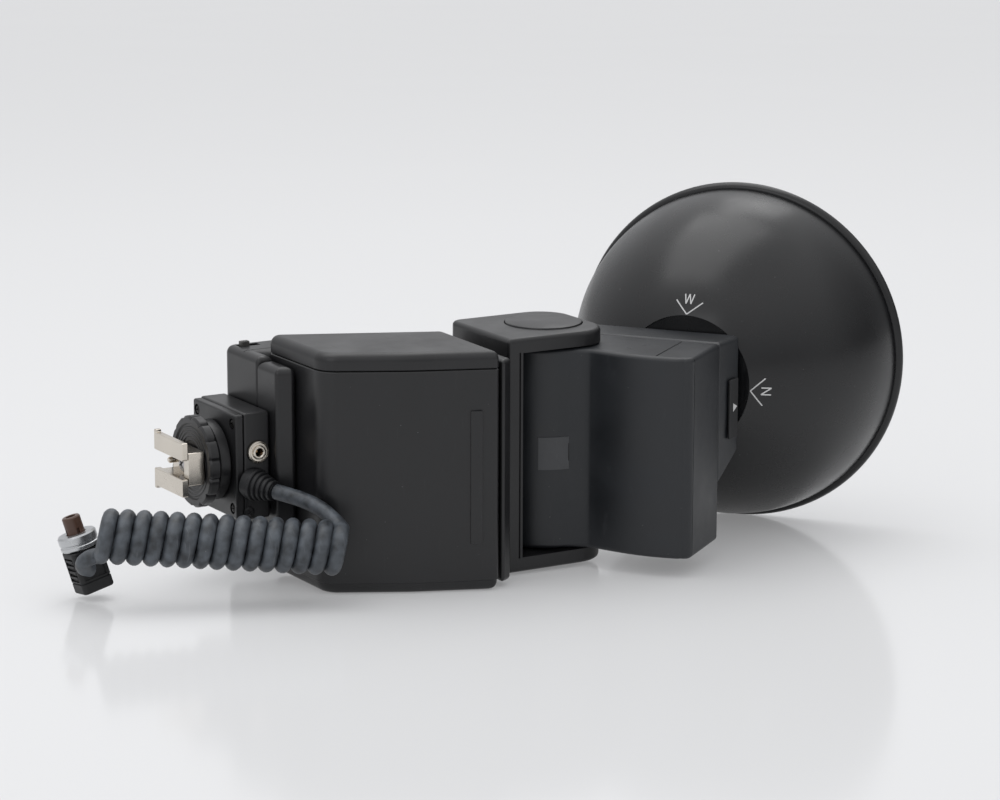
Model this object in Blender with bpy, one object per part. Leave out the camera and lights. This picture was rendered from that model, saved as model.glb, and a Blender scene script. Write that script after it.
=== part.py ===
"""Electronic camera flash with a bowl reflector, lying on its side.

The model is built in the flash's own frame: +X runs from the mounting foot to the lamp head, Z is the
flash's width and Y its depth, with the slanted front face towards -Y. The empty "resting_pose" leans that
frame by the small angle at which the flash lies on its front edge and on the rim of its reflector.
All values are metres, written as millimetres times MM.
"""

import math

import bmesh
import bpy
from mathutils import Matrix, Vector

MM = 0.001
FIT_GAP = 0.3 * MM
ARC_STEPS = 5

# Where the flash's frame stands on the surface, and how it leans there.
BASE_SHIFT = Vector((-41.28 * MM, -41.94 * MM, 0.0))
LEAN_ABOUT_X = math.radians(1.79)
LEAN_ABOUT_Y = math.radians(-0.89)
LEAN_LIFT = -0.05 * MM

# Battery housing: a slanted block, with the lid on its upper side.
WIDTH = 82.5 * MM
MID_Z = WIDTH / 2
WALL = 2.2 * MM
HOUSING_LENGTH = 54.5 * MM
FRONT_SLOPE = 25.0 / 54.5
HOUSING_DEPTH = 41.0 * MM
FRONT_BULGE = 1.6 * MM
LID_HEIGHT = 6.2 * MM
SEAM_Z = WIDTH - LID_HEIGHT
CELL_RADIUS = 7.1 * MM
CELL_LENGTH = 49.2 * MM

# The blank badge plate on the front face, which is turned by the face's bulge.
BADGE_TWIST = math.atan2(2 * FRONT_BULGE, math.hypot(HOUSING_LENGTH, HOUSING_LENGTH * FRONT_SLOPE))
BADGE_POINT = Vector((-8.2 * MM, 2.2 * MM, 39.6 * MM))
BADGE_HALF_HEIGHT = 32.8 * MM

# Control housing behind the battery housing.
CONTROL_LEFT = -61.5 * MM
CONTROL_BACK = 84.0 * MM
CONTROL_TOP = 76.3 * MM
CONTROL_BOTTOM = 5.5 * MM

# Foot block, its ring and its shoe.
FOOT_Y = 65.4 * MM
FOOT_LEFT = -71.3 * MM
FOOT_RIGHT = -61.9 * MM
FOOT_HALF_Y = 16.6 * MM
FOOT_HALF_Z = 18.4 * MM
HUB_TOP = 7.7 * MM
RING_RADIUS = 15.7 * MM
RING_BOTTOM = HUB_TOP + FIT_GAP
RING_TOP = 12.0 * MM
SHOE_WIDTH = 18.6 * MM
SHOE_LENGTH = 22.0 * MM
SHOE_TOP = 20.4 * MM
SHOE_SHEET = 2.0 * MM
SHOE_SLOT = 6.4 * MM
JACK_X = -66.4 * MM
JACK_Z = 46.1 * MM
RELIEF_Z = 35.2 * MM

# Yoke, pivot and lamp head.
YOKE_LEFT = 12.3 * MM
PIVOT_X = 38.6 * MM
PIVOT_Y = 36.65 * MM
YOKE_HALF_Z = 41.0 * MM
ARM_THICKNESS = 5.2 * MM
ARM_RADIUS = 20.6 * MM
CAP_RADIUS = 13.4 * MM
HEAD_ANGLE = math.radians(37.1)
HEAD_HALF_Z = 35.1 * MM
HEAD_TOP_B = 59.0 * MM
HEAD_REAR_A = -22.0 * MM
HEAD_SPLIT_A = 16.0 * MM
HEAD_FRONT_A = 33.0 * MM
DRUM_RADIUS = 19.6 * MM

# Reflector, in its own frame: +Z along the light, origin on the head's front face.
REFLECTOR_B = 40.8 * MM
REFLECTOR_Z = 16.87 * MM
RIM_RADIUS = 62.1 * MM
RIM_A = 93.6 * MM
BOWL_APEX_A = 28.0 * MM
BOWL_WALL = 1.4 * MM
COLLAR_RADIUS = 24.4 * MM

# Cord.
CORD_RADIUS = 2.65 * MM
COIL_RADIUS = 9.3 * MM
COIL_START = Vector((-57.5, 12.6, 19.8)) * MM
COIL_END = Vector((-126.0, 45.0, 25.5)) * MM
LEAD_ROUTE = (
    (-64.2, 39.6, 33.9),
    (-61.2, 33.2, 33.3),
    (-56.8, 25.2, 32.2),
    (-52.2, 17.2, 29.6),
    (-48.8, 11.4, 24.8),
    (-47.8, 8.0, 18.8),
    (-50.0, 8.2, 14.2),
    (-53.8, 10.4, 12.7),
    (-57.1, 12.3, 13.2),
)
TAIL_ROUTE = (
    (-127.0, 45.5, 18.9),
    (-129.2, 46.6, 18.3),
    (-130.6, 49.2, 16.2),
    (-129.4, 51.8, 13.6),
    (-126.6, 53.3, 12.4),
)

# The plug stands on its heel and leans back.
PLUG_HEEL = Vector((-122.0, 60.0, 3.4)) * MM
PLUG_TURN = (math.radians(-9.0), math.radians(-14.6), 0.0)

# Materials: name, base colour, roughness, metallic.
BLACK_PLASTIC = ("black_plastic", (0.030, 0.031, 0.033), 0.42, 0.0)
GREY_PLASTIC = ("head_plastic", (0.036, 0.042, 0.048), 0.45, 0.0)
SOFT_BLACK = ("soft_black", (0.018, 0.019, 0.021), 0.6, 0.0)
SATIN_PAINT = ("satin_black_paint", (0.012, 0.013, 0.014), 0.28, 0.1)
NICKEL = ("nickel", (0.72, 0.68, 0.62), 0.25, 1.0)
STEEL = ("steel", (0.55, 0.55, 0.56), 0.35, 1.0)
COPPER = ("copper", (0.75, 0.42, 0.28), 0.35, 1.0)
CORD_RUBBER = ("cord_rubber", (0.07, 0.08, 0.09), 0.6, 0.0)
BROWN_PLASTIC = ("brown_plastic", (0.12, 0.06, 0.04), 0.5, 0.0)
CLEAR_GLASS = ("clear_glass", (0.8, 0.85, 0.88), 0.05, 0.0)
BOARD_GREEN = ("board_green", (0.04, 0.14, 0.07), 0.5, 0.0)
SILVER_PAINT = ("silver_paint", (0.62, 0.63, 0.65), 0.3, 0.8)
LAMP_RED = ("lamp_red", (0.5, 0.03, 0.02), 0.25, 0.0)


# ---------------------------------------------------------------- shape helpers


def clear_scene():
    for thing in list(bpy.data.objects):
        bpy.data.objects.remove(thing, do_unlink=True)


def material(spec):
    name, colour, roughness, metallic = spec
    found = bpy.data.materials.get(name)
    if found:
        return found
    made = bpy.data.materials.new(name)
    made.use_nodes = True
    shader = made.node_tree.nodes["Principled BSDF"]
    shader.inputs["Base Color"].default_value = (*colour, 1.0)
    shader.inputs["Roughness"].default_value = roughness
    shader.inputs["Metallic"].default_value = metallic
    return made


def frame(name, parent, location, rotation=(0.0, 0.0, 0.0)):
    empty = bpy.data.objects.new(name, None)
    empty.empty_display_size = 0.01
    bpy.context.collection.objects.link(empty)
    empty.parent = parent
    empty.location = location
    empty.rotation_euler = rotation
    return empty


def finish_mesh(name, mesh_builder, parent, spec, smooth_angle=35.0):
    bmesh.ops.remove_doubles(mesh_builder, verts=mesh_builder.verts, dist=0.000001)
    bmesh.ops.recalc_face_normals(mesh_builder, faces=mesh_builder.faces)
    mesh = bpy.data.meshes.new(name)
    mesh_builder.to_mesh(mesh)
    mesh_builder.free()
    mesh.shade_smooth()
    mesh.set_sharp_from_angle(angle=math.radians(smooth_angle))
    mesh.materials.append(material(spec))
    made = bpy.data.objects.new(name, mesh)
    bpy.context.collection.objects.link(made)
    made.parent = parent
    return made


def cut(target, cutter, solver="EXACT"):
    """Subtract one closed object from another and keep the cutter as a hidden guide."""
    cutter.hide_render = True
    cutter.display_type = "WIRE"
    modifier = target.modifiers.new("cut_" + cutter.name, "BOOLEAN")
    modifier.operation = "DIFFERENCE"
    modifier.solver = solver
    modifier.object = cutter


def arc_points(centre, radius, start, end, steps):
    """Points on an arc from one angle to another, both ends included, angles in radians."""
    spread = (end - start) / steps
    angles = [start + spread * index for index in range(steps + 1)]
    return [(centre[0] + radius * math.cos(a), centre[1] + radius * math.sin(a)) for a in angles]


def rounded(corners, steps=ARC_STEPS):
    """An outline from (x, y, radius) corners, with an arc of that radius at each corner."""
    outline = []
    count = len(corners)
    for index in range(count):
        here = Vector(corners[index][:2])
        radius = corners[index][2]
        if radius <= 0:
            outline.append(tuple(here))
            continue
        back = (Vector(corners[index - 1][:2]) - here).normalized()
        ahead = (Vector(corners[(index + 1) % count][:2]) - here).normalized()
        half = back.angle(ahead) / 2
        centre = here + (back + ahead).normalized() * (radius / math.sin(half))
        first = here + back * (radius / math.tan(half)) - centre
        last = here + ahead * (radius / math.tan(half)) - centre
        start = math.atan2(first.y, first.x)
        turn = math.atan2(first.cross(last), first.dot(last))
        outline += arc_points(centre, radius, start, start + turn, steps)
    return outline


def inset(outline, distance):
    """The outline moved inwards by a distance; it runs counter-clockwise."""
    moved = []
    count = len(outline)
    for index in range(count):
        here = Vector(outline[index])
        before = (here - Vector(outline[index - 1])).normalized()
        after = (Vector(outline[(index + 1) % count]) - here).normalized()
        normal = (Vector((-before.y, before.x)) + Vector((-after.y, after.x))).normalized()
        stretch = max(0.3, normal.dot(Vector((-before.y, before.x))))
        moved.append(tuple(here + normal * (distance / stretch)))
    return moved


def pulled_in(corners, margin):
    """(x, y, radius) corners moved inwards by a margin, with their radii reduced to match."""
    moved = inset([corner[:2] for corner in corners], margin)
    radii = [max(corner[2] - margin, 0.4 * MM) if corner[2] > 0 else 0.0 for corner in corners]
    return [(x, y, radius) for (x, y), radius in zip(moved, radii)]


def add_rings(builder, rings):
    """Join equal rings of points into a closed body with a flat cap at each end."""
    made = [[builder.verts.new(point) for point in ring] for ring in rings]
    count = len(made[0])
    for lower, upper in zip(made, made[1:]):
        for index in range(count):
            following = (index + 1) % count
            builder.faces.new((lower[index], lower[following], upper[following], upper[index]))
    builder.faces.new(list(reversed(made[0])))
    builder.faces.new(made[-1])


def prism(name, outline, low, high, parent, spec, bottom_fillet=0.0, top_fillet=0.0, steps=3):
    """An upright block with the outline's plan and rounded edges at the bottom and the top."""
    levels = []
    quarter = [math.pi / 2 * index / steps for index in range(steps + 1)]
    if bottom_fillet > 0:
        levels += [(bottom_fillet * (1 - math.sin(a)), low + bottom_fillet * (1 - math.cos(a))) for a in quarter]
    else:
        levels.append((0.0, low))
    if top_fillet > 0:
        levels += [(top_fillet * (1 - math.cos(a)), high - top_fillet * (1 - math.sin(a))) for a in quarter]
    else:
        levels.append((0.0, high))
    rings = []
    for distance, height in levels:
        ring = inset(outline, distance) if distance > 0 else outline
        rings.append([(x, y, height) for x, y in ring])
    builder = bmesh.new()
    add_rings(builder, rings)
    return finish_mesh(name, builder, parent, spec)


def block(name, low, high, parent, spec, radius=0.0, fillet=0.0):
    """A box between two corners, with rounded upright edges and rounded rims."""
    corners = [(low[0], low[1], radius), (high[0], low[1], radius), (high[0], high[1], radius), (low[0], high[1], radius)]
    return prism(name, rounded(corners, 4), low[2], high[2], parent, spec, fillet, fillet, 2)


def turned(name, profile, parent, spec, segments=32, location=(0.0, 0.0, 0.0), smooth_angle=35.0):
    """A closed (radius, z) profile turned about the local Z axis; radius 0 lies on the axis."""
    builder = bmesh.new()
    columns = []
    for radius, height in profile:
        if radius == 0:
            columns.append([builder.verts.new((0.0, 0.0, height))])
            continue
        turns = [2 * math.pi * index / segments for index in range(segments)]
        columns.append([builder.verts.new((radius * math.cos(t), radius * math.sin(t), height)) for t in turns])
    for here, following in zip(columns, columns[1:] + columns[:1]):
        if len(here) == 1 and len(following) == 1:
            continue
        for index in range(segments):
            after = (index + 1) % segments
            corners = [here[index % len(here)], here[after % len(here)]]
            corners += [following[after % len(following)], following[index % len(following)]]
            unique = list(dict.fromkeys(corners))
            builder.faces.new(unique)
    made = finish_mesh(name, builder, parent, spec, smooth_angle)
    made.location = location
    return made


def disc(name, radius, low, high, parent, spec, segments=32, chamfer=0.3 * MM, location=(0.0, 0.0, 0.0)):
    """A solid disc with a small chamfer on both rims."""
    profile = [(0.0, low), (radius - chamfer, low), (radius, low + chamfer)]
    profile += [(radius, high - chamfer), (radius - chamfer, high), (0.0, high)]
    return turned(name, profile, parent, spec, segments, location)


def ring(name, outer, inner, low, high, parent, spec, segments=32, chamfer=0.3 * MM, location=(0.0, 0.0, 0.0)):
    """A flat ring with chamfered outer rims."""
    profile = [(inner, low), (outer - chamfer, low), (outer, low + chamfer)]
    profile += [(outer, high - chamfer), (outer - chamfer, high), (inner, high)]
    return turned(name, profile, parent, spec, segments, location)


def tube(name, points, radius, parent, spec):
    """A round tube through a smooth curve that passes the given points."""
    curve = bpy.data.curves.new(name, "CURVE")
    curve.dimensions = "3D"
    curve.bevel_depth = radius
    curve.bevel_resolution = 2
    curve.use_fill_caps = True
    spline = curve.splines.new("POLY")
    spline.points.add(len(points) - 1)
    for target, point in zip(spline.points, points):
        target.co = (*point, 1.0)
    curve.materials.append(material(spec))
    made = bpy.data.objects.new(name, curve)
    bpy.context.collection.objects.link(made)
    made.parent = parent
    return made


def smooth_route(points, per_span):
    """A Catmull-Rom curve through the points, read at equal parameter steps."""
    knots = [Vector(point) for point in points]
    first = knots[0] * 2 - knots[1]
    last = knots[-1] * 2 - knots[-2]
    padded = [first] + knots + [last]
    route = []
    for index in range(1, len(padded) - 2):
        a, b, c, d = padded[index - 1 : index + 3]
        for step in range(per_span):
            t = step / per_span
            point = b * 2 + (c - a) * t + (a * 2 - b * 5 + c * 4 - d) * t * t
            point += (b * 3 - a - c * 3 + d) * t * t * t
            route.append(point / 2)
    route.append(knots[-1])
    return route


# ---------------------------------------------------------------- battery housing


def housing_outline(margin=0.0):
    """Plan of the battery housing: a slanted block with a slightly bulged front face."""
    left = -HOUSING_LENGTH
    near_left = FRONT_SLOPE * HOUSING_LENGTH
    outward = Vector((-FRONT_SLOPE, -1.0)).normalized()
    middle = Vector((left, near_left)) * 0.5 + outward * FRONT_BULGE
    corners = [
        (left, near_left, 9.0 * MM),
        (middle.x, middle.y, 0.0),
        (0.0, 0.0, 3.4 * MM),
        (1.5 * MM, HOUSING_DEPTH, 3.4 * MM),
        (left, near_left + HOUSING_DEPTH, 3.4 * MM),
    ]
    return rounded(pulled_in(corners, margin))


def battery_housing(body):
    shell = prism("battery_housing", housing_outline(), 0.0, SEAM_Z, body, BLACK_PLASTIC, 4.0 * MM, 0.0, 3)
    hollow_top = SEAM_Z + 5 * MM
    hollow = prism("battery_well", housing_outline(WALL), WALL * 1.6, hollow_top, body, SOFT_BLACK)
    cut(shell, hollow)
    badge_recess = front_plate("badge_recess", body, 33.0 * MM, -0.6 * MM, 2.0 * MM)
    cut(shell, badge_recess)
    return shell


def front_plate(name, body, height, low, high):
    """A thin upright plate on the front face, near the head end; low and high are heights off the face."""
    # The face's near half runs from the bulge's middle to the right corner.
    direction = Vector((1.0, -FRONT_SLOPE, 0.0)).normalized()
    turn = math.atan2(direction.y, direction.x) - BADGE_TWIST
    half_width = 2.1 * MM if low < 0 else 1.9 * MM
    half_height = height + (0.2 * MM if low < 0 else 0.0)
    place = frame(name + "_place", body, BADGE_POINT, (math.pi / 2, 0.0, turn))
    corners = [(-half_width, -half_height, 0.4 * MM), (half_width, -half_height, 0.4 * MM)]
    corners += [(half_width, half_height, 0.4 * MM), (-half_width, half_height, 0.4 * MM)]
    return prism(name, rounded(corners, 3), low, high, place, SOFT_BLACK)


def battery_lid(body):
    low = SEAM_Z + FIT_GAP
    lid = prism("battery_lid", housing_outline(), low, WIDTH, body, BLACK_PLASTIC, 0.0, 3.0 * MM, 3)
    recess = prism("lid_recess", housing_outline(WALL), low - 1 * MM, WIDTH - 2.4 * MM, body, SOFT_BLACK)
    cut(lid, recess)
    return lid


def cell_places():
    """Centres of the four cells in plan, two rows along the slanted housing."""
    along = Vector((1.0, -FRONT_SLOPE))
    centre = Vector((-HOUSING_LENGTH / 2, FRONT_SLOPE * HOUSING_LENGTH / 2 + HOUSING_DEPTH / 2))
    spread = CELL_RADIUS * 1.12
    places = []
    for side in (-1, 1):
        for row in (-1, 1):
            places.append(centre + along * (side * spread * 0.95) + Vector((0.0, row * spread)))
    return places


def batteries(body):
    low = 10.0 * MM
    tip = 2.6 * MM
    for index, place in enumerate(cell_places()):
        profile = [(0.0, 0.0), (CELL_RADIUS, 0.0)]
        profile += [(CELL_RADIUS, CELL_LENGTH - 1.2 * MM), (CELL_RADIUS - 0.8 * MM, CELL_LENGTH - 0.3 * MM)]
        profile += [(tip, CELL_LENGTH - 0.3 * MM), (tip, CELL_LENGTH + 1.0 * MM), (0.0, CELL_LENGTH + 1.0 * MM)]
        turned(f"battery_cell_{index + 1}", profile, body, COPPER, 14, (place.x, place.y, low))
    plate_outline = housing_outline(WALL + 1.2 * MM)
    prism("contact_plate_lower", plate_outline, 7.6 * MM, 9.4 * MM, body, BOARD_GREEN)
    prism("contact_plate_upper", plate_outline, 61.2 * MM, 63.0 * MM, body, BOARD_GREEN)


# ---------------------------------------------------------------- control housing


def control_outline():
    left = -HOUSING_LENGTH - 1.0 * MM
    back_left = FRONT_SLOPE * HOUSING_LENGTH + HOUSING_DEPTH + 1.0 * MM
    corners = [
        (CONTROL_LEFT, 58.0 * MM, 1.5 * MM),
        (left, 58.0 * MM, 0.0),
        (left, back_left, 0.0),
        (1.6 * MM, HOUSING_DEPTH + 0.8 * MM, 0.0),
        (1.6 * MM, 60.0 * MM, 2.0 * MM),
        (-26.0 * MM, CONTROL_BACK, 12.0 * MM),
        (CONTROL_LEFT, CONTROL_BACK, 4.0 * MM),
    ]
    return rounded(corners, 4)


def control_housing(body):
    top = CONTROL_TOP
    shell = prism("control_housing", control_outline(), CONTROL_BOTTOM, top, body, BLACK_PLASTIC, 3.0 * MM, 2.5 * MM)
    inner = [
        (-59.0 * MM, 68.6 * MM, 1.0 * MM),
        (-8.0 * MM, 50.5 * MM, 1.0 * MM),
        (-1.0 * MM, 50.5 * MM, 1.0 * MM),
        (-1.0 * MM, 58.5 * MM, 1.0 * MM),
        (-27.0 * MM, CONTROL_BACK + 2 * MM, 0.0),
        (-59.0 * MM, CONTROL_BACK + 2 * MM, 0.0),
    ]
    hollow = prism("control_well", rounded(inner, 3), 11.0 * MM, 71.0 * MM, body, SOFT_BLACK)
    cut(shell, hollow)
    switch_slot = block(
        "switch_slot", (-58.5 * MM, 77.0 * MM, 75.2 * MM), (-50.5 * MM, 80.2 * MM, 79.0 * MM), body, SOFT_BLACK
    )
    cut(shell, switch_slot)
    return shell


def corner_post(body):
    """The rounded filler between the control housing and the battery housing, at the foot end."""
    corners = [
        (CONTROL_LEFT, 44.5 * MM, 1.6 * MM),
        (-HOUSING_LENGTH - FIT_GAP, 41.5 * MM, 1.6 * MM),
        (-HOUSING_LENGTH - FIT_GAP, 58.0 * MM - FIT_GAP, 0.0),
        (CONTROL_LEFT, 58.0 * MM - FIT_GAP, 0.0),
    ]
    outline = rounded(corners, 4)
    return prism("corner_post", outline, CONTROL_BOTTOM, 75.0 * MM, body, BLACK_PLASTIC, 2.5 * MM, 2.8 * MM)


def control_panel(body):
    """The panel, window, dial, buttons and lamp on the back of the control housing."""
    back = CONTROL_BACK
    plate = block(
        "control_panel", (-57.8 * MM, back - 2.6 * MM, 12.5 * MM), (-30.5 * MM, back - 0.6 * MM, 69.5 * MM), body, SOFT_BLACK
    )
    face = frame("panel_face", body, (-44.0 * MM, back - 0.6 * MM, MID_Z), (-math.pi / 2, 0.0, 0.0))
    dial_hole = disc("dial_hole", 2.4 * MM, -3 * MM, 2 * MM, face, SOFT_BLACK, 20, 0.1 * MM, (0.0, 14.0 * MM, 0.0))
    cut(plate, dial_hole)
    window = [(-11.0 * MM, -24.5 * MM, 1.0 * MM), (11.0 * MM, -24.5 * MM, 1.0 * MM)]
    window += [(11.0 * MM, -8.5 * MM, 1.0 * MM), (-11.0 * MM, -8.5 * MM, 1.0 * MM)]
    prism("display_window", rounded(window, 3), FIT_GAP, 1.2 * MM, face, CLEAR_GLASS, 0.0, 0.4 * MM, 2)
    turned(
        "mode_dial",
        [(0.0, -2.2 * MM), (1.9 * MM, -2.2 * MM), (1.9 * MM, 0.4 * MM), (8.5 * MM, 0.4 * MM)]
        + [(9.0 * MM, 0.9 * MM), (8.7 * MM, 3.6 * MM), (8.2 * MM, 4.1 * MM), (0.0, 4.1 * MM)],
        frame("dial_axis", face, (0.0, 14.0 * MM, 0.0)),
        BLACK_PLASTIC,
        24,
    )
    for index in range(3):
        place = (-7.0 * MM + 7.0 * MM * index, -3.6 * MM, 0.0)
        hole = disc(f"button_hole_{index + 1}", 2.3 * MM, -3 * MM, 2 * MM, face, SOFT_BLACK, 12, 0.1 * MM, place)
        cut(plate, hole)
        stem = [(0.0, -1.4 * MM), (1.9 * MM, -1.4 * MM), (1.9 * MM, 1.2 * MM), (1.4 * MM, 1.8 * MM), (0.0, 1.8 * MM)]
        turned(f"panel_button_{index + 1}", stem, frame(f"button_axis_{index + 1}", face, place), SILVER_PAINT, 12)
    lamp_place = (9.5 * MM, 26.0 * MM, 0.0)
    disc("ready_lamp", 1.8 * MM, FIT_GAP, 1.6 * MM, face, LAMP_RED, 16, 0.5 * MM, lamp_place)


def power_switch(body):
    low = CONTROL_TOP - 0.8 * MM
    slider = frame("switch_axis", body, (-56.0 * MM, 78.6 * MM, low))
    half_x = 1.7 * MM
    half_y = 1.2 * MM
    return block("power_switch", (-half_x, -half_y, 0.0), (half_x, half_y, 2.4 * MM), slider, SILVER_PAINT, 0.5 * MM, 0.4 * MM)


def electronics(body):
    """The parts inside the control housing that make the flash work."""
    board = (-56.5 * MM, 75.2 * MM, 14.0 * MM)
    block("circuit_board", board, (-30.0 * MM, 76.8 * MM, 68.0 * MM), body, BOARD_GREEN)
    capacitor = frame("capacitor_axis", body, (-15.0 * MM, 60.5 * MM, 15.0 * MM))
    disc("main_capacitor", 5.6 * MM, 0.0, 52.0 * MM, capacitor, SOFT_BLACK, 24, 0.6 * MM)
    low = (-38.0 * MM, 66.5 * MM, 20.0 * MM)
    block("inverter_transformer", low, (-26.5 * MM, 74.6 * MM, 32.0 * MM), body, COPPER, 0.8 * MM, 0.5 * MM)


# ---------------------------------------------------------------- foot


def foot_block(body):
    low = (FOOT_LEFT, FOOT_Y - FOOT_HALF_Y, MID_Z - FOOT_HALF_Z)
    high = (FOOT_RIGHT, FOOT_Y + FOOT_HALF_Y, MID_Z + FOOT_HALF_Z)
    shell = block("foot_block", low, high, body, BLACK_PLASTIC, 0.0, 0.9 * MM)
    jack_axis = frame("jack_bore_axis", body, (JACK_X, FOOT_Y - FOOT_HALF_Y, JACK_Z), (math.pi / 2, 0.0, 0.0))
    cut(shell, disc("jack_bore", 2.9 * MM, -9.0 * MM, 2.0 * MM, jack_axis, SOFT_BLACK, 20, 0.1 * MM))
    shaft_axis = frame("foot_bore_axis", body, (FOOT_LEFT, FOOT_Y, MID_Z), (0.0, -math.pi / 2, 0.0))
    cut(shell, disc("foot_bore", 5.3 * MM, -6.0 * MM, 2.0 * MM, shaft_axis, SOFT_BLACK, 24, 0.1 * MM))
    return shell


def foot_parts(body):
    """Everything on the foot's axis: local +Z points away from the flash."""
    axis = frame("foot_axis", body, (FOOT_LEFT, FOOT_Y, MID_Z), (0.0, -math.pi / 2, 0.0))
    half_z = FOOT_HALF_Z - 0.4 * MM
    half_y = FOOT_HALF_Y - 0.4 * MM
    corners = [(-half_z, -half_y, 1.0 * MM), (half_z, -half_y, 1.0 * MM), (half_z, half_y, 1.0 * MM), (-half_z, half_y, 1.0 * MM)]
    plate = prism("foot_end_plate", rounded(corners, 3), FIT_GAP, 3.0 * MM, axis, BLACK_PLASTIC, 0.0, 0.6 * MM, 2)
    cut(plate, disc("plate_bore", 5.3 * MM, -1.0 * MM, 5.0 * MM, axis, SOFT_BLACK, 18, 0.1 * MM))
    screw_z = 14.6 * MM
    screw_y = 13.2 * MM
    for index, (side_z, side_y) in enumerate(((-1, -1), (1, -1), (-1, 1), (1, 1))):
        place = (side_z * screw_z, side_y * screw_y, 0.0)
        pocket = disc(f"screw_pocket_{index + 1}", 1.9 * MM, 1.6 * MM, 5.0 * MM, axis, SOFT_BLACK, 10, 0.1 * MM, place)
        cut(plate, pocket)
        head = [(0.0, 1.9 * MM), (1.5 * MM, 1.9 * MM), (1.5 * MM, 2.5 * MM), (1.1 * MM, 2.9 * MM), (0.0, 2.9 * MM)]
        turned(f"foot_screw_{index + 1}", head, axis, STEEL, 12, place)
    post = [(0.0, -5.4 * MM), (4.9 * MM, -5.4 * MM), (4.9 * MM, RING_TOP), (0.0, RING_TOP)]
    turned("foot_post", post, axis, STEEL, 24)
    ring("foot_hub", 13.8 * MM, 5.3 * MM, 3.0 * MM + FIT_GAP, HUB_TOP, axis, BLACK_PLASTIC, 24, 0.5 * MM)
    locking_ring(axis)
    shoe(axis)


def locking_ring(axis):
    """The clamping ring: a turned disc whose grip is cut into broad segments."""
    low = RING_BOTTOM
    high = RING_TOP
    builder = bmesh.new()
    notches = 14
    outer = []
    inner = []
    for index in range(notches):
        start = 2 * math.pi * index / notches
        for share, radius in ((0.04, 0.94), (0.1, 1.0), (0.5, 1.0), (0.9, 1.0)):
            angle = start + 2 * math.pi / notches * share
            outer.append((radius * math.cos(angle), radius * math.sin(angle)))
            inner.append((math.cos(angle), math.sin(angle)))
    bore = 5.3 * MM
    rings = []
    for radius, height, ribs in (
        (bore, low, False),
        (RING_RADIUS - 0.8 * MM, low, True),
        (RING_RADIUS, low + 0.8 * MM, True),
        (RING_RADIUS, high - 0.8 * MM, True),
        (RING_RADIUS - 0.8 * MM, high, True),
        (RING_RADIUS - 2.6 * MM, high, False),
        (RING_RADIUS - 3.0 * MM, high - 0.6 * MM, False),
        (bore, high - 0.6 * MM, False),
    ):
        shape = outer if ribs else inner
        rings.append([builder.verts.new((x * radius, y * radius, height)) for x, y in shape])
    for here, following in zip(rings, rings[1:] + rings[:1]):
        for index in range(len(here)):
            after = (index + 1) % len(here)
            builder.faces.new((here[index], here[after], following[after], following[index]))
    return finish_mesh("locking_ring", builder, axis, BLACK_PLASTIC, 25.0)


def shoe(axis):
    """The accessory shoe: a forked plate of plated sheet on a narrow neck, with its screw and contact pin."""
    half_width = SHOE_WIDTH / 2
    half_length = SHOE_LENGTH / 2
    slot = SHOE_SLOT / 2
    web = 3.5 * MM - half_length
    corner = 0.6 * MM
    fork = [
        (-half_width, -half_length, corner),
        (half_width, -half_length, corner),
        (half_width, half_length, corner),
        (slot, half_length, corner),
        (slot, web, 0.0),
        (-slot, web, 0.0),
        (-slot, half_length, corner),
        (-half_width, half_length, corner),
    ]
    plate_low = SHOE_TOP - SHOE_SHEET
    prism("shoe_plate", rounded(fork, 2), plate_low, SHOE_TOP, axis, NICKEL, 0.0, 0.3 * MM, 1)
    neck_half = 5.7 * MM
    neck_low = RING_TOP + FIT_GAP
    neck_high = plate_low - FIT_GAP
    low = (-neck_half, -half_length, neck_low)
    neck = block("shoe_neck", low, (neck_half, half_length - 2 * MM, neck_high), axis, NICKEL, 0.6 * MM)
    floor = neck_low + 2.0 * MM
    pocket_low = (-slot - 0.2 * MM, web, floor)
    cut(neck, block("neck_pocket", pocket_low, (slot + 0.2 * MM, half_length, SHOE_TOP), axis, SOFT_BLACK))
    head = floor + FIT_GAP
    screw = [(0.0, head), (2.9 * MM, head), (2.9 * MM, head + 0.9 * MM), (2.2 * MM, head + 1.5 * MM), (0.0, head + 1.5 * MM)]
    turned("shoe_screw", screw, axis, STEEL, 16, (0.0, -1.0 * MM, 0.0))
    disc("contact_pin", 1.1 * MM, head, head + 3.0 * MM, axis, NICKEL, 12, 0.3 * MM, (0.0, 6.0 * MM, 0.0))


def sync_jack(body):
    """The threaded synchronising socket and its centre contact; local +Z points out of the block."""
    axis = frame("jack_axis", body, (JACK_X, FOOT_Y - FOOT_HALF_Y, JACK_Z), (math.pi / 2, 0.0, 0.0))
    bore = 1.35 * MM
    profile = [(bore, -7.0 * MM), (2.6 * MM, -7.0 * MM), (2.6 * MM, FIT_GAP), (3.9 * MM, FIT_GAP)]
    profile += [(3.9 * MM, 0.9 * MM), (3.4 * MM, 1.5 * MM), (2.1 * MM, 1.7 * MM), (bore, 1.2 * MM)]
    turned("sync_jack", profile, axis, NICKEL, 20)
    disc("jack_contact", 0.6 * MM, -8.4 * MM, -1.0 * MM, axis, COPPER, 12, 0.15 * MM)


def relief_frame(body):
    """The strain relief leans towards the battery housing as it leaves the block."""
    base = Vector((-68.3 * MM, FOOT_Y - FOOT_HALF_Y - FIT_GAP, RELIEF_Z))
    towards = (Vector(LEAD_ROUTE[0]) * MM - base).normalized()
    turn = towards.to_track_quat("Z", "X").to_euler()
    return frame("relief_axis", body, base, turn), (Vector(LEAD_ROUTE[0]) * MM - base).length


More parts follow.
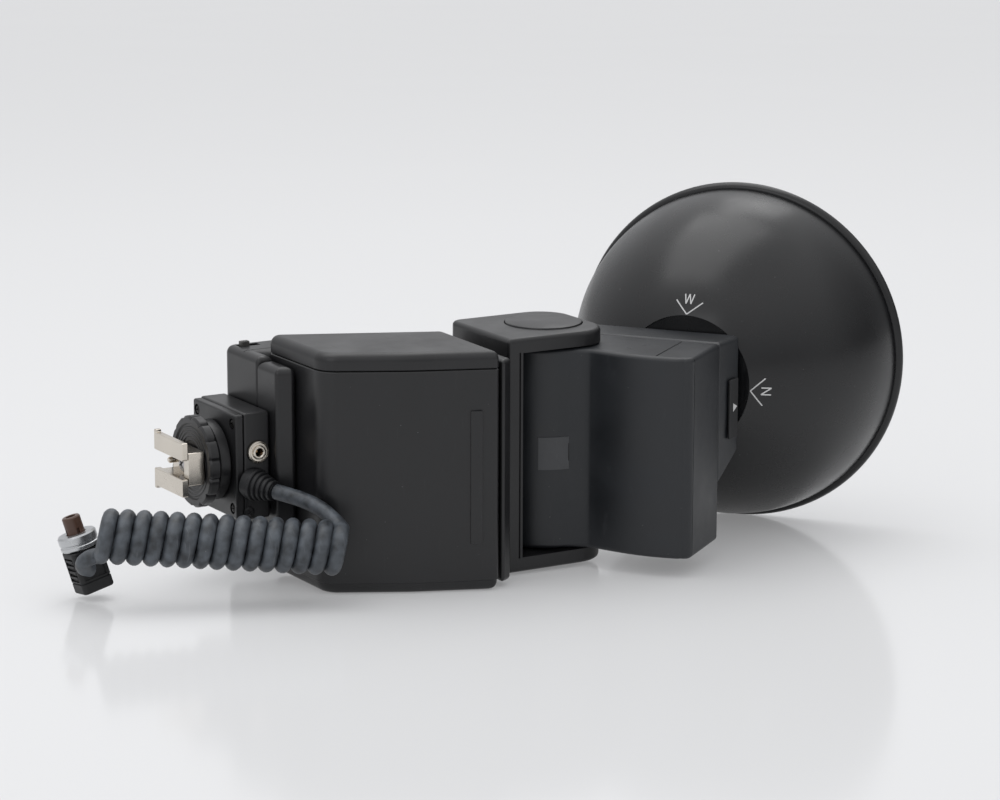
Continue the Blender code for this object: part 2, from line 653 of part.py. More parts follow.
def strain_relief(body):
    """A tapered boot with ribs, trimmed flat where it meets the block."""
    axis, reach = relief_frame(body)
    ribs = 4
    big = 5.6 * MM
    small = 3.5 * MM
    start = 1.0 * MM
    end = reach - FIT_GAP
    profile = [(0.0, start - 3.0 * MM), (big - 0.4 * MM, start - 3.0 * MM)]
    pitch = (end - start) / ribs
    for index in range(ribs):
        low = start + pitch * index
        radius = big + (small - big) * index / (ribs - 1)
        valley = radius - 0.9 * MM
        profile += [(radius, low), (radius, low + pitch * 0.55), (valley, low + pitch * 0.62), (valley, low + pitch * 0.95)]
    profile += [(small - 0.3 * MM, end), (0.0, end)]
    boot = turned("strain_relief", profile, axis, SOFT_BLACK, 16, smooth_angle=25.0)
    face = FOOT_Y - FOOT_HALF_Y - FIT_GAP
    low = (-80 * MM, face, 20 * MM)
    cut(boot, block("relief_trim", low, (-55 * MM, face + 15 * MM, 55 * MM), body, SOFT_BLACK))
    return boot


# ---------------------------------------------------------------- swivel, yoke


def swivel(body):
    """End shell of the body, the turntable on it and the hollow shaft that the yoke turns on."""
    half_z = MID_Z - 1.6 * MM
    left = 1.9 * MM
    corners = [(left + 0.3 * MM, 3.0 * MM, 1.0 * MM), (7.2 * MM, 6.0 * MM, 1.6 * MM), (7.2 * MM, 56.0 * MM, 3.0 * MM)]
    corners += [(3.4 * MM, 58.0 * MM, 0.0), (3.4 * MM, 41.0 * MM, 0.0)]
    low = MID_Z - half_z
    high = MID_Z + half_z
    end = prism("body_end_shell", rounded(corners, 4), low, high, body, BLACK_PLASTIC, 1.6 * MM, 1.6 * MM)
    axis = frame("swivel_axis", body, (7.2 * MM, PIVOT_Y, MID_Z), (0.0, math.pi / 2, 0.0))
    cut(end, disc("end_shell_bore", 7.0 * MM, -9.0 * MM, 2.0 * MM, axis, SOFT_BLACK, 20, 0.1 * MM))
    ring("swivel_turntable", 17.0 * MM, 7.2 * MM, FIT_GAP, 4.8 * MM, axis, SOFT_BLACK, 32, 0.4 * MM)
    return axis


def yoke_outline():
    """Plan of the yoke's arms, about the pivot: a square root at the body and a round end."""
    left = YOKE_LEFT - PIVOT_X
    near = -ARM_RADIUS
    far = ARM_RADIUS * 0.98
    outline = [(left, far - 4.0 * MM), (left, near + 1.2 * MM), (left + 1.2 * MM, near)]
    outline += arc_points((0.0, 0.0), ARM_RADIUS, -math.pi / 2, math.pi / 2, 12)
    outline += [(left + 4.0 * MM, far)]
    return outline


def yoke(pivot):
    """One casting: a base against the turntable and two arms that carry the head's pins."""
    outer = yoke_outline()
    casting = prism("yoke", outer, -YOKE_HALF_Z, YOKE_HALF_Z, pivot, BLACK_PLASTIC, 1.2 * MM, 1.2 * MM, 2)
    inner = YOKE_HALF_Z - ARM_THICKNESS
    base_inside = -DRUM_RADIUS - 0.9 * MM
    corners = [(base_inside, -40 * MM, 0.0), (30 * MM, -40 * MM, 0.0), (30 * MM, 40 * MM, 0.0), (base_inside, 40 * MM, 0.0)]
    cut(casting, prism("yoke_gap", rounded(corners), -inner, inner, pivot, SOFT_BLACK))
    bore = disc("pin_bore", 3.4 * MM, -60 * MM, 60 * MM, pivot, SOFT_BLACK, 16, 0.1 * MM)
    cut(casting, bore)
    for side, name in ((1, "cap_seat_upper"), (-1, "cap_seat_lower")):
        seat_low = YOKE_HALF_Z - 1.5 * MM
        low, high = (seat_low, 60 * MM) if side > 0 else (-60 * MM, -seat_low)
        cut(casting, disc(name, CAP_RADIUS + FIT_GAP, low, high, pivot, SOFT_BLACK, 20, 0.1 * MM))
    root = frame("shaft_bore_axis", pivot, (YOKE_LEFT - PIVOT_X, 0.0, 0.0), (0.0, math.pi / 2, 0.0))
    cut(casting, disc("shaft_bore", 6.6 * MM, -2.0 * MM, 12.0 * MM, root, SOFT_BLACK, 20, 0.1 * MM))
    shaft = [(3.2 * MM, -8.6 * MM), (6.2 * MM, -8.6 * MM), (6.2 * MM, 4.6 * MM), (3.2 * MM, 4.6 * MM)]
    turned("swivel_shaft", shaft, root, STEEL, 24)
    return casting


def pivot_pins(pivot):
    """A cap over each arm, and the pin that passes through it into the head."""
    for side, place in ((1, "upper"), (-1, "lower")):
        mirror = 0.0 if side > 0 else math.pi
        axis = frame(f"{place}_pin_axis", pivot, (0.0, 0.0, 0.0), (mirror, 0.0, 0.0))
        seat = YOKE_HALF_Z - 1.5 * MM + FIT_GAP
        disc(f"{place}_pivot_cap", CAP_RADIUS, seat, YOKE_HALF_Z + 0.6 * MM, axis, BLACK_PLASTIC, 28, 0.5 * MM)
        inner = HEAD_HALF_Z - 5.0 * MM
        disc(f"{place}_pivot_pin", 3.1 * MM, inner, seat - FIT_GAP, axis, STEEL, 20, 0.3 * MM)


# ---------------------------------------------------------------- lamp head


def head_outline():
    """Plan of the head's main shell in its own frame: x along the light, y towards its underside."""
    rear_corner = (HEAD_REAR_A, -HEAD_TOP_B)
    valley = (-10.0 * MM, -19.5 * MM)
    outline = arc_points((0.0, 0.0), DRUM_RADIUS, math.radians(60), math.radians(238), 10)
    outline += [valley]
    direction = Vector(rear_corner) - Vector(valley)
    outward = Vector((direction.y, -direction.x)).normalized()
    for share in (0.16, 0.34, 0.52, 0.7, 0.86):
        crown = 4.4 * MM * math.sin(math.pi * share ** 1.1)
        point = Vector(valley) + direction * share + outward * crown
        outline.append(tuple(point))
    outline += arc_points((HEAD_REAR_A + 3.0 * MM, -HEAD_TOP_B + 3.0 * MM), 3.0 * MM, math.pi, math.pi * 1.5, 4)
    outline += [(HEAD_SPLIT_A, -HEAD_TOP_B), (HEAD_SPLIT_A, DRUM_RADIUS * math.sin(math.radians(60)))]
    return outline


def head_shells(head):
    rear = prism("head_rear_shell", head_outline(), -HEAD_HALF_Z, HEAD_HALF_Z, head, GREY_PLASTIC, 1.6 * MM, 1.6 * MM)
    well = [
        (-12.0 * MM, -52.0 * MM, 2.0 * MM),
        (HEAD_SPLIT_A + 4 * MM, -52.0 * MM, 0.0),
        (HEAD_SPLIT_A + 4 * MM, 6.0 * MM, 0.0),
        (-6.0 * MM, 6.0 * MM, 2.0 * MM),
    ]
    inner = HEAD_HALF_Z - 3.0 * MM
    cut(rear, prism("rear_shell_well", rounded(well, 3), -inner, inner, head, SOFT_BLACK))
    cut(rear, disc("head_pin_bore", 3.4 * MM, -60 * MM, 60 * MM, head, SOFT_BLACK, 24, 0.1 * MM))
    front_low = HEAD_SPLIT_A + FIT_GAP
    corners = [(front_low, 16.0 * MM, 1.0 * MM), (front_low, -HEAD_TOP_B, 0.5 * MM)]
    corners += [(HEAD_FRONT_A, -HEAD_TOP_B - 2.5 * MM, 3.0 * MM), (HEAD_FRONT_A, 10.0 * MM, 4.0 * MM)]
    front = prism("head_front_shell", rounded(corners, 4), -HEAD_HALF_Z, HEAD_HALF_Z, head, GREY_PLASTIC, 1.6 * MM, 1.6 * MM)
    open_well = [
        (front_low - 4 * MM, -52.0 * MM, 0.0),
        (HEAD_FRONT_A - 3.0 * MM, -52.0 * MM, 0.0),
        (HEAD_FRONT_A - 3.0 * MM, 4.0 * MM, 0.0),
        (front_low - 4 * MM, 4.0 * MM, 0.0),
    ]
    cut(front, prism("front_shell_well", rounded(open_well, 3), -inner, inner, head, SOFT_BLACK))
    cut_corner(front, head)
    lamp = frame("lamp_bore_axis", head, (HEAD_FRONT_A, -REFLECTOR_B, REFLECTOR_Z), (0.0, math.pi / 2, 0.0))
    cut(front, disc("lamp_bore", 11.0 * MM, -8 * MM, 4 * MM, lamp, SOFT_BLACK, 24, 0.1 * MM))


def cut_corner(front, head):
    """The front shell is narrower than the rear one below the lamp: a sloping step takes its corner off."""
    low = -HEAD_HALF_Z - 5 * MM
    step_a = HEAD_SPLIT_A - 2 * MM
    builder = bmesh.new()
    outline = [(step_a, low), (60 * MM, low), (60 * MM, -3.5 * MM), (HEAD_FRONT_A, -3.5 * MM), (step_a + 2.5 * MM, -14.0 * MM), (step_a, -14.0 * MM)]
    rings = [[(x, -80 * MM, z) for x, z in outline], [(x, 60 * MM, z) for x, z in outline]]
    add_rings(builder, rings)
    step = finish_mesh("front_step", builder, head, SOFT_BLACK)
    cut(front, step)


def head_details(head):
    """The dark window on the front shell, beside the reflector's setting marks."""
    side = -HEAD_TOP_B - 1.6 * MM
    face = frame("window_place", head, (25.5 * MM, side, 10.5 * MM), (math.pi / 2, 0.0, math.radians(-8.3)))
    corners = [(-3.2 * MM, -10.5 * MM, 0.5 * MM), (3.2 * MM, -10.5 * MM, 0.5 * MM)]
    corners += [(3.2 * MM, 10.5 * MM, 0.5 * MM), (-3.2 * MM, 10.5 * MM, 0.5 * MM)]
    prism("index_window", rounded(corners, 3), FIT_GAP, 0.9 * MM, face, SOFT_BLACK)


def lamp(reflector):
    """Tube and socket on the reflector's axis."""
    disc("lamp_socket", 10.4 * MM, -7.5 * MM, 1.0 * MM, reflector, SOFT_BLACK, 24, 0.4 * MM)
    glass = [(0.0, 1.4 * MM), (7.0 * MM, 1.4 * MM), (7.4 * MM, 2.0 * MM), (7.4 * MM, 17.0 * MM)]
    glass += [(6.6 * MM, 20.6 * MM), (4.4 * MM, 23.0 * MM), (0.0, 24.0 * MM)]
    turned("flash_tube", glass, reflector, CLEAR_GLASS, 20)


# ---------------------------------------------------------------- reflector


def bowl_radius(height, outer):
    """Radius of the bowl at a distance in front of its apex, on its outer or inner surface."""
    depth = RIM_A - BOWL_APEX_A
    wall = 0.0 if outer else BOWL_WALL
    share = 1.0 - min(1.0, max(0.0, (height - wall) / depth))
    return (RIM_RADIUS - 2.2 * MM - wall) * math.sqrt(max(0.0, 1.0 - share * share))


def bowl(reflector):
    """A thin spun bowl with an open mouth, a flat-bottomed collar seat and a rolled rim bead."""
    apex = BOWL_APEX_A - HEAD_FRONT_A
    steps = 9
    outer = []
    inner = []
    for index in range(steps + 1):
        blend = index / steps
        start = outer_height(COLLAR_RADIUS)
        height = start + (RIM_A - BOWL_APEX_A - 2.6 * MM - start) * (1 - math.cos(blend * math.pi / 2))
        outer.append((bowl_radius(height, True), apex + height))
        inner.append((bowl_radius(height, True) - BOWL_WALL, apex + height + BOWL_WALL * (1 - blend)))
    profile = outer + list(reversed(inner))
    turned("reflector_bowl", profile, reflector, SATIN_PAINT, 44)


def outer_height(radius):
    """Distance in front of the apex at which the bowl's outside has the given radius."""
    depth = RIM_A - BOWL_APEX_A
    share = math.sqrt(1 - (radius / (RIM_RADIUS - 2.2 * MM)) ** 2)
    return depth * (1 - share)


def rim_and_collar(reflector):
    """The rolled bead round the mouth and the bayonet collar that turns on the head."""
    mouth = RIM_A - HEAD_FRONT_A
    bead = 2.1 * MM
    centre = RIM_RADIUS - bead
    profile = [(centre + bead * math.cos(a), mouth + bead * math.sin(a)) for a in arc_angles(8)]
    turned("reflector_rim", profile, reflector, SATIN_PAINT, 48)
    low = FIT_GAP * 2
    top = BOWL_APEX_A - HEAD_FRONT_A + outer_height(COLLAR_RADIUS)
    ring_profile = [(11.5 * MM, low), (COLLAR_RADIUS - 0.9 * MM, low), (COLLAR_RADIUS - 0.9 * MM, top + 0.3 * MM)]
    ring_profile += [(COLLAR_RADIUS - 1.9 * MM, top + 1.6 * MM), (11.5 * MM, top + 1.6 * MM)]
    turned("reflector_collar", ring_profile, reflector, SOFT_BLACK, 32)


def arc_angles(count):
    return [2 * math.pi * index / count for index in range(count)]


# ---------------------------------------------------------------- cord and plug


def cord(body):
    lead = [Vector(point) * MM for point in LEAD_ROUTE]
    tube("cord_lead", smooth_route(lead, 3), CORD_RADIUS, body, CORD_RUBBER)
    coil = COIL_END - COIL_START
    turn = coil.to_track_quat("Z", "X").to_euler()
    axis = frame("coil_axis", body, COIL_START, turn)
    disc("cord_coil", COIL_RADIUS, 0.0, coil.length, axis, CORD_RUBBER, 16, 1.2 * MM)
    tail = [Vector(point) * MM for point in TAIL_ROUTE]
    tube("cord_tail", smooth_route(tail, 3), CORD_RADIUS, body, CORD_RUBBER)


def plug(body):
    """The plug stands on its heel and leans back; local +Z runs towards its tip."""
    axis = frame("plug_axis", body, PLUG_HEEL, PLUG_TURN)
    half_x = 5.6 * MM
    half_y = 5.2 * MM
    top = 14.8 * MM
    sleeve = block("plug_body", (-half_x, -half_y, 0.0), (half_x, half_y, top), axis, SOFT_BLACK, 1.6 * MM, 0.8 * MM)
    band = 0.7 * MM
    low = (-half_x - band, -half_y - band, 4.4 * MM)
    groove = block("plug_groove", low, (half_x + band, half_y + band, top - 1.2 * MM), axis, SOFT_BLACK, 1.6 * MM)
    cut(groove, block("plug_core", (-half_x + band, -half_y + band, 0.0), (half_x - band, half_y - band, top), axis, SOFT_BLACK, 1.2 * MM))
    cut(sleeve, groove)
    ring_low = top + FIT_GAP
    ring("plug_ring", 6.6 * MM, 3.4 * MM, ring_low, ring_low + 5.1 * MM, axis, SILVER_PAINT, 22, 0.5 * MM)
    tip = [(0.0, ring_low), (3.1 * MM, ring_low), (3.1 * MM, 25.6 * MM), (2.7 * MM, 26.0 * MM), (0.0, 26.0 * MM)]
    turned("plug_tip", tip, axis, BROWN_PLASTIC, 16)


def main():
    clear_scene()
    resting = frame("resting_pose", None, BASE_SHIFT + Vector((0, 0, LEAN_LIFT)), (LEAN_ABOUT_X, LEAN_ABOUT_Y, 0.0))
    battery_housing(resting)
    battery_lid(resting)
    front_plate("badge_plate", resting, 32.8 * MM, -0.3 * MM, 0.4 * MM)
    batteries(resting)
    control_housing(resting)
    corner_post(resting)
    control_panel(resting)
    power_switch(resting)
    electronics(resting)
    foot_block(resting)
    foot_parts(resting)
    sync_jack(resting)
    strain_relief(resting)
    swivel(resting)
    pivot = frame("yoke_pivot", resting, (PIVOT_X, PIVOT_Y, MID_Z))
    yoke(pivot)
    pivot_pins(pivot)
    head = frame("head_pivot", pivot, (0.0, 0.0, 0.0), (0.0, 0.0, HEAD_ANGLE))
    head_shells(head)
    head_details(head)
    reflector = frame("reflector_axis", head, (HEAD_FRONT_A, -REFLECTOR_B, REFLECTOR_Z), (0.0, math.pi / 2, 0.0))
    lamp(reflector)
    bowl(reflector)
    rim_and_collar(reflector)
    cord(resting)
    plug(resting)


main()
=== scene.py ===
"""Looks of the electronic flash with a bowl reflector, lying on its side on a glossy pale table.

The pieces are built in the flash's own frame (REST) or in a frame under it, with finer steps than the CAD
solids they stand for. All lengths are metres, written as millimetres times MM.
"""

import math

import bmesh
import bpy
from mathutils import Euler, Matrix, Vector


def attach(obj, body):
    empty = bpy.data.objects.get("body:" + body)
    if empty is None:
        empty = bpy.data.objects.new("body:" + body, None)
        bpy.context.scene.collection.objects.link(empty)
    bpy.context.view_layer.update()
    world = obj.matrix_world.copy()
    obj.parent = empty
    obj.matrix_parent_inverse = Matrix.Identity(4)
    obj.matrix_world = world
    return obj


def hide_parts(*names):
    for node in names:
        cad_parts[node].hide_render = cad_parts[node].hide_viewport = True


MM = 0.001
FIT_GAP = 0.3 * MM
THROUGH = 60 * MM  # far enough to pass right through any part
FULL_TURN = 2 * math.pi


def mm(*values):
    return tuple(value * MM for value in values)


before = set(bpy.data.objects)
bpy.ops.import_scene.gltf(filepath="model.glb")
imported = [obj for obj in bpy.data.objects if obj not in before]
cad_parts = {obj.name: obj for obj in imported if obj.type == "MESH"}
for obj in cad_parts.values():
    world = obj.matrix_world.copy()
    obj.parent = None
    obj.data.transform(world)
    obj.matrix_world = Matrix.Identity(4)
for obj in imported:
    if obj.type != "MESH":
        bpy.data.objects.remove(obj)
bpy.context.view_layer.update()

# ---------------------------------------------------------------- driving dimensions
# They are the CAD's, except HEAD_REAR_A, ARM_END and BOWL_START, which follow the rounded shapes more
# closely, and LEAD_ROUTE, which joins the coil in one smooth line.

BASE_SHIFT = Vector(mm(-41.28, -41.94, -0.05))
LEAN = (math.radians(1.79), math.radians(-0.89), 0.0)

WIDTH = 82.5 * MM
MID_Z = WIDTH / 2
WALL = 2.2 * MM
HOUSING_LENGTH = 54.5 * MM
FRONT_SLOPE = 25.0 / 54.5
HOUSING_DEPTH = 41.0 * MM
FRONT_BULGE = 1.6 * MM
LID_HEIGHT = 6.2 * MM
SEAM_Z = WIDTH - LID_HEIGHT

CONTROL_LEFT = -61.5 * MM
CONTROL_BACK = 84.0 * MM
CONTROL_TOP = 76.3 * MM
CONTROL_BOTTOM = 5.5 * MM
DIAL_Y = 14.0 * MM
WINDOW_Y = -16.5 * MM
BUTTON_Y = -3.6 * MM
BUTTON_PITCH = 7.0 * MM

FOOT_Y = 65.4 * MM
FOOT_LEFT = -71.3 * MM
FOOT_RIGHT = -61.9 * MM
FOOT_HALF_Y = 16.6 * MM
FOOT_HALF_Z = 18.4 * MM
POST_BORE = 5.3 * MM
HUB_TOP = 7.7 * MM
RING_RADIUS = 15.7 * MM
RING_BOTTOM = HUB_TOP + FIT_GAP
RING_TOP = 12.0 * MM
SHOE_WIDTH = 18.6 * MM
SHOE_LENGTH = 22.0 * MM
SHOE_TOP = 20.4 * MM
SHOE_SHEET = 2.0 * MM
SHOE_SLOT = 6.4 * MM
JACK_X = -66.4 * MM
JACK_Z = 46.1 * MM
RELIEF_Z = 35.2 * MM

YOKE_LEFT = 12.3 * MM
PIVOT_X = 38.6 * MM
PIVOT_Y = 36.65 * MM
YOKE_HALF_Z = 41.0 * MM
ARM_THICKNESS = 5.2 * MM
ARM_RADIUS = 20.6 * MM
ARM_END = 15.8 * MM
CAP_RADIUS = 13.4 * MM
CAP_SINK = 1.5 * MM
PIN_BORE = 3.4 * MM
HEAD_ANGLE = math.radians(37.1)
HEAD_HALF_Z = 35.1 * MM
HEAD_TOP_B = 59.0 * MM
HEAD_REAR_A = -13.0 * MM
HEAD_SPLIT_A = 16.0 * MM
HEAD_FRONT_A = 33.0 * MM
DRUM_RADIUS = 19.6 * MM

REFLECTOR_B = 40.8 * MM
REFLECTOR_Z = 16.87 * MM
RIM_RADIUS = 62.1 * MM
RIM_A = 93.6 * MM
BOWL_APEX_A = 28.0 * MM
BOWL_WALL = 1.4 * MM
BOWL_DEPTH = RIM_A - BOWL_APEX_A
BOWL_MOUTH = RIM_RADIUS - 2.2 * MM
COLLAR_RADIUS = 24.4 * MM
BOWL_START = COLLAR_RADIUS - 0.8 * MM
MARK_TWIST = math.radians(3.6)
MARK_WIDTH = 0.42 * MM

CORD_RADIUS = 2.65 * MM
HELIX_RADIUS = 6.65 * MM
HELIX_TURNS = 14
HELIX_STEPS = 24
HELIX_ENTRY = -math.pi
COIL_START = Vector((-57.5, 12.6, 19.8)) * MM
COIL_END = Vector((-126.0, 45.0, 25.5)) * MM
LEAD_ROUTE = (
    (-64.2, 39.6, 33.9),
    (-61.5, 33.4, 33.3),
    (-58.7, 27.4, 32.3),
    (-56.3, 21.6, 30.5),
    (-54.8, 16.2, 28.0),
)
TAIL_ROUTE = (
    (-129.2, 46.6, 18.3),
    (-130.6, 49.2, 16.2),
    (-129.4, 51.8, 13.6),
    (-126.6, 53.3, 12.4),
)
PLUG_HEEL = Vector((-122.0, 60.0, 3.4)) * MM
PLUG_TURN = (math.radians(-9.0), math.radians(-14.6), 0.0)


def turn(x=0.0, y=0.0, z=0.0):
    return Euler((x, y, z)).to_matrix().to_4x4()


def shift(x=0.0, y=0.0, z=0.0):
    return Matrix.Translation((x, y, z))


REST = Matrix.Translation(BASE_SHIFT) @ turn(*LEAN)
PIVOT = REST @ shift(PIVOT_X, PIVOT_Y, MID_Z)
HEAD = PIVOT @ turn(z=HEAD_ANGLE)
REFLECTOR = HEAD @ shift(HEAD_FRONT_A, -REFLECTOR_B, REFLECTOR_Z) @ turn(y=math.pi / 2)
FOOT = REST @ shift(FOOT_LEFT, FOOT_Y, MID_Z) @ turn(y=-math.pi / 2)
JACK = REST @ shift(JACK_X, FOOT_Y - FOOT_HALF_Y, JACK_Z) @ turn(x=math.pi / 2)
PANEL = REST @ shift(-44.0 * MM, CONTROL_BACK - 0.6 * MM, MID_Z) @ turn(x=-math.pi / 2)
PLUG = REST @ Matrix.Translation(PLUG_HEEL) @ turn(*PLUG_TURN)
SWIVEL = REST @ shift(7.2 * MM, PIVOT_Y, MID_Z) @ turn(y=math.pi / 2)

# ---------------------------------------------------------------- camera, light and floor

CAMERA_PLACE = (-0.62908, -1.02844, 0.2761)
CAMERA_TURN = (math.radians(79.6), 0.0, math.radians(-30.77))
CAMERA_LENS = 126.0
FLOOR_SIZE = 16.0


def camera():
    data = bpy.data.cameras.new("camera")
    data.lens = CAMERA_LENS
    data.sensor_width = 36.0
    data.clip_end = 100.0
    made = bpy.data.objects.new("camera", data)
    made.location = CAMERA_PLACE
    made.rotation_euler = CAMERA_TURN
    bpy.context.scene.collection.objects.link(made)
    bpy.context.scene.camera = made


def softbox(name, place, target, size, power, tint=(1.0, 1.0, 1.0)):
    data = bpy.data.lights.new(name, "AREA")
    data.shape = "RECTANGLE"
    data.size = size[0]
    data.size_y = size[1]
    data.energy = power
    data.color = tint
    made = bpy.data.objects.new(name, data)
    made.location = place
    made.rotation_euler = (Vector(target) - Vector(place)).to_track_quat("-Z", "Y").to_euler()
    bpy.context.scene.collection.objects.link(made)


def sky():
    """A pale studio: dimmer near the horizon and to the right, brighter overhead."""
    world = bpy.data.worlds.new("studio")
    world.use_nodes = True
    bpy.context.scene.world = world
    tree = world.node_tree
    place = tree.nodes.new("ShaderNodeTexCoord")
    split = tree.nodes.new("ShaderNodeSeparateXYZ")
    ramp = tree.nodes.new("ShaderNodeValToRGB")
    ramp.color_ramp.elements[0].position = 0.0
    ramp.color_ramp.elements[0].color = (0.51, 0.512, 0.52, 1.0)
    ramp.color_ramp.elements[1].position = 0.8
    ramp.color_ramp.elements[1].color = (1.02, 1.025, 1.04, 1.0)
    middle = ramp.color_ramp.elements.new(0.22)
    middle.color = (0.63, 0.635, 0.65, 1.0)
    wire(tree, place, "Generated", split, 0)
    wire(tree, split, "Z", ramp, "Fac")
    shade = tree.nodes.new("ShaderNodeVectorMath")
    shade.operation = "SCALE"
    wire(tree, ramp, "Color", shade, 0)
    wire(tree, ranged(tree, split, "X", 0.62, 1.0, 1.0, 0.30), "Result", shade, "Scale")
    wire(tree, shade, "Vector", tree.nodes["Background"], "Color")
    tree.nodes["Background"].inputs["Strength"].default_value = 1.0


def floor_material():
    made = bpy.data.materials.new("table_gloss")
    made.use_nodes = True
    tree = made.node_tree
    shader = tree.nodes["Principled BSDF"]
    place = tree.nodes.new("ShaderNodeTexCoord")
    haze = tree.nodes.new("ShaderNodeTexNoise")
    haze.inputs["Scale"].default_value = 3.0
    wire(tree, place, "Object", haze, "Vector")
    wire(tree, ranged(tree, haze, "Fac", 0.0, 1.0, 0.10, 0.16), "Result", shader, "Roughness")
    shader.inputs["Base Color"].default_value = (0.55, 0.553, 0.557, 1.0)
    shader.inputs["Emission Color"].default_value = (1.0, 1.0, 1.01, 1.0)
    shader.inputs["Emission Strength"].default_value = 0.20
    shader.inputs["Specular IOR Level"].default_value = 0.15
    return made


def stage():
    mesh = bpy.data.meshes.new("floor")
    half = FLOOR_SIZE / 2
    mesh.from_pydata(
        [(-half, -half, 0), (half, -half, 0), (half, half, 0), (-half, half, 0)], [], [(0, 1, 2, 3)],
    )
    mesh.materials.append(floor_material())
    floor = bpy.data.objects.new("floor", mesh)
    bpy.context.scene.collection.objects.link(floor)
    sky()
    softbox("overhead", (-0.1, 0.25, 1.15), (0.0, 0.0, 0.0), (1.2, 0.8), 4.2)
    softbox("front_left", (-1.25, -0.7, 0.75), (0.0, 0.0, 0.05), (0.8, 0.8), 1.5, (0.97, 0.98, 1.0))
    softbox("right_back", (0.9, 0.9, 1.35), (0.05, 0.0, 0.06), (0.6, 0.6), 1.8)
    bpy.context.scene.view_settings.view_transform = "Standard"


# ---------------------------------------------------------------- materials


MIX_FIRST, MIX_SECOND, MIX_COLOUR = 6, 7, 2
DUST_COLOUR = (0.30, 0.30, 0.31)


def wire(tree, source, output, target, socket):
    tree.links.new(source.outputs[output], target.inputs[socket])


def noise(tree, place, scale, detail=4.0, stretch=None):
    """Noise in the piece's own coordinates, optionally drawn out along an axis."""
    made = tree.nodes.new("ShaderNodeTexNoise")
    made.inputs["Scale"].default_value = scale
    made.inputs["Detail"].default_value = detail
    if stretch:
        mapping = tree.nodes.new("ShaderNodeMapping")
        mapping.inputs["Scale"].default_value = stretch
        wire(tree, place, "Object", mapping, "Vector")
        wire(tree, mapping, "Vector", made, "Vector")
    else:
        wire(tree, place, "Object", made, "Vector")
    return made


def ranged(tree, source, output, low, high, to_low, to_high):
    made = tree.nodes.new("ShaderNodeMapRange")
    made.inputs["From Min"].default_value = low
    made.inputs["From Max"].default_value = high
    made.inputs["To Min"].default_value = to_low
    made.inputs["To Max"].default_value = to_high
    wire(tree, source, output, made, "Value")
    return made


def mixed(tree, factor, first, second):
    """A colour mix whose first colour may be a node or a plain colour."""
    made = tree.nodes.new("ShaderNodeMix")
    made.data_type = "RGBA"
    wire(tree, factor, "Result", made, "Factor")
    if isinstance(first, tuple):
        made.inputs[MIX_FIRST].default_value = (*first, 1.0)
    else:
        tree.links.new(first.outputs[MIX_COLOUR], made.inputs[MIX_FIRST])
    made.inputs[MIX_SECOND].default_value = (*second, 1.0)
    return made


def finish(
    name, colour, roughness, metallic=0.0, grain=1500.0, depth=0.02,
    wear=0.25, wear_colour=None, uneven=0.18, patch=60.0,
):
    """A surface with mottled colour, uneven roughness, fine grain, hairline scuffs and dust."""
    made = bpy.data.materials.new(name)
    made.use_nodes = True
    tree = made.node_tree
    shader = tree.nodes["Principled BSDF"]
    shader.inputs["Metallic"].default_value = metallic
    place = tree.nodes.new("ShaderNodeTexCoord")
    broad = noise(tree, place, patch, 4.0)
    fine = noise(tree, place, grain, 5.0)
    hairs = noise(tree, place, 90.0, 2.0, (14.0, 1.0, 1.3))
    specks = noise(tree, place, 900.0, 2.0)
    dark = tuple(channel * (1.0 - uneven) for channel in colour)
    light = tuple(min(1.0, channel * (1.0 + uneven)) for channel in colour)
    mottle = ranged(tree, broad, "Fac", 0.3, 0.7, 0.0, 1.0)
    base = mixed(tree, mottle, dark, light)
    worn_tone = wear_colour or tuple(min(1.0, channel * 1.8 + 0.03) for channel in colour)
    scuff = ranged(tree, hairs, "Fac", 0.66, 0.74, 0.0, wear)
    scuffed = mixed(tree, scuff, base, worn_tone)
    dust = ranged(tree, specks, "Fac", 0.76, 0.80, 0.0, 0.35)
    dusty = mixed(tree, dust, scuffed, DUST_COLOUR)
    tree.links.new(dusty.outputs[MIX_COLOUR], shader.inputs["Base Color"])
    rough = ranged(tree, broad, "Fac", 0.3, 0.7, max(0.02, roughness - 0.06), min(1.0, roughness + 0.06))
    add = tree.nodes.new("ShaderNodeMath")
    add.operation = "MULTIPLY_ADD"
    add.inputs[1].default_value = 0.5
    wire(tree, scuff, "Result", add, 0)
    wire(tree, rough, "Result", add, 2)
    wire(tree, add, "Value", shader, "Roughness")
    bump = tree.nodes.new("ShaderNodeBump")
    bump.inputs["Strength"].default_value = 0.5
    bump.inputs["Distance"].default_value = depth * MM
    wire(tree, fine, "Fac", bump, "Height")
    wire(tree, bump, "Normal", shader, "Normal")
    return made


def clear_finish(name, colour, roughness, share):
    """A clear or smoky surface; share is how much of the light passes through it."""
    made = finish(name, colour, roughness, 0.0, 900.0, 0.004, 0.1)
    shader = made.node_tree.nodes["Principled BSDF"]
    shader.inputs["Transmission Weight"].default_value = share
    return made


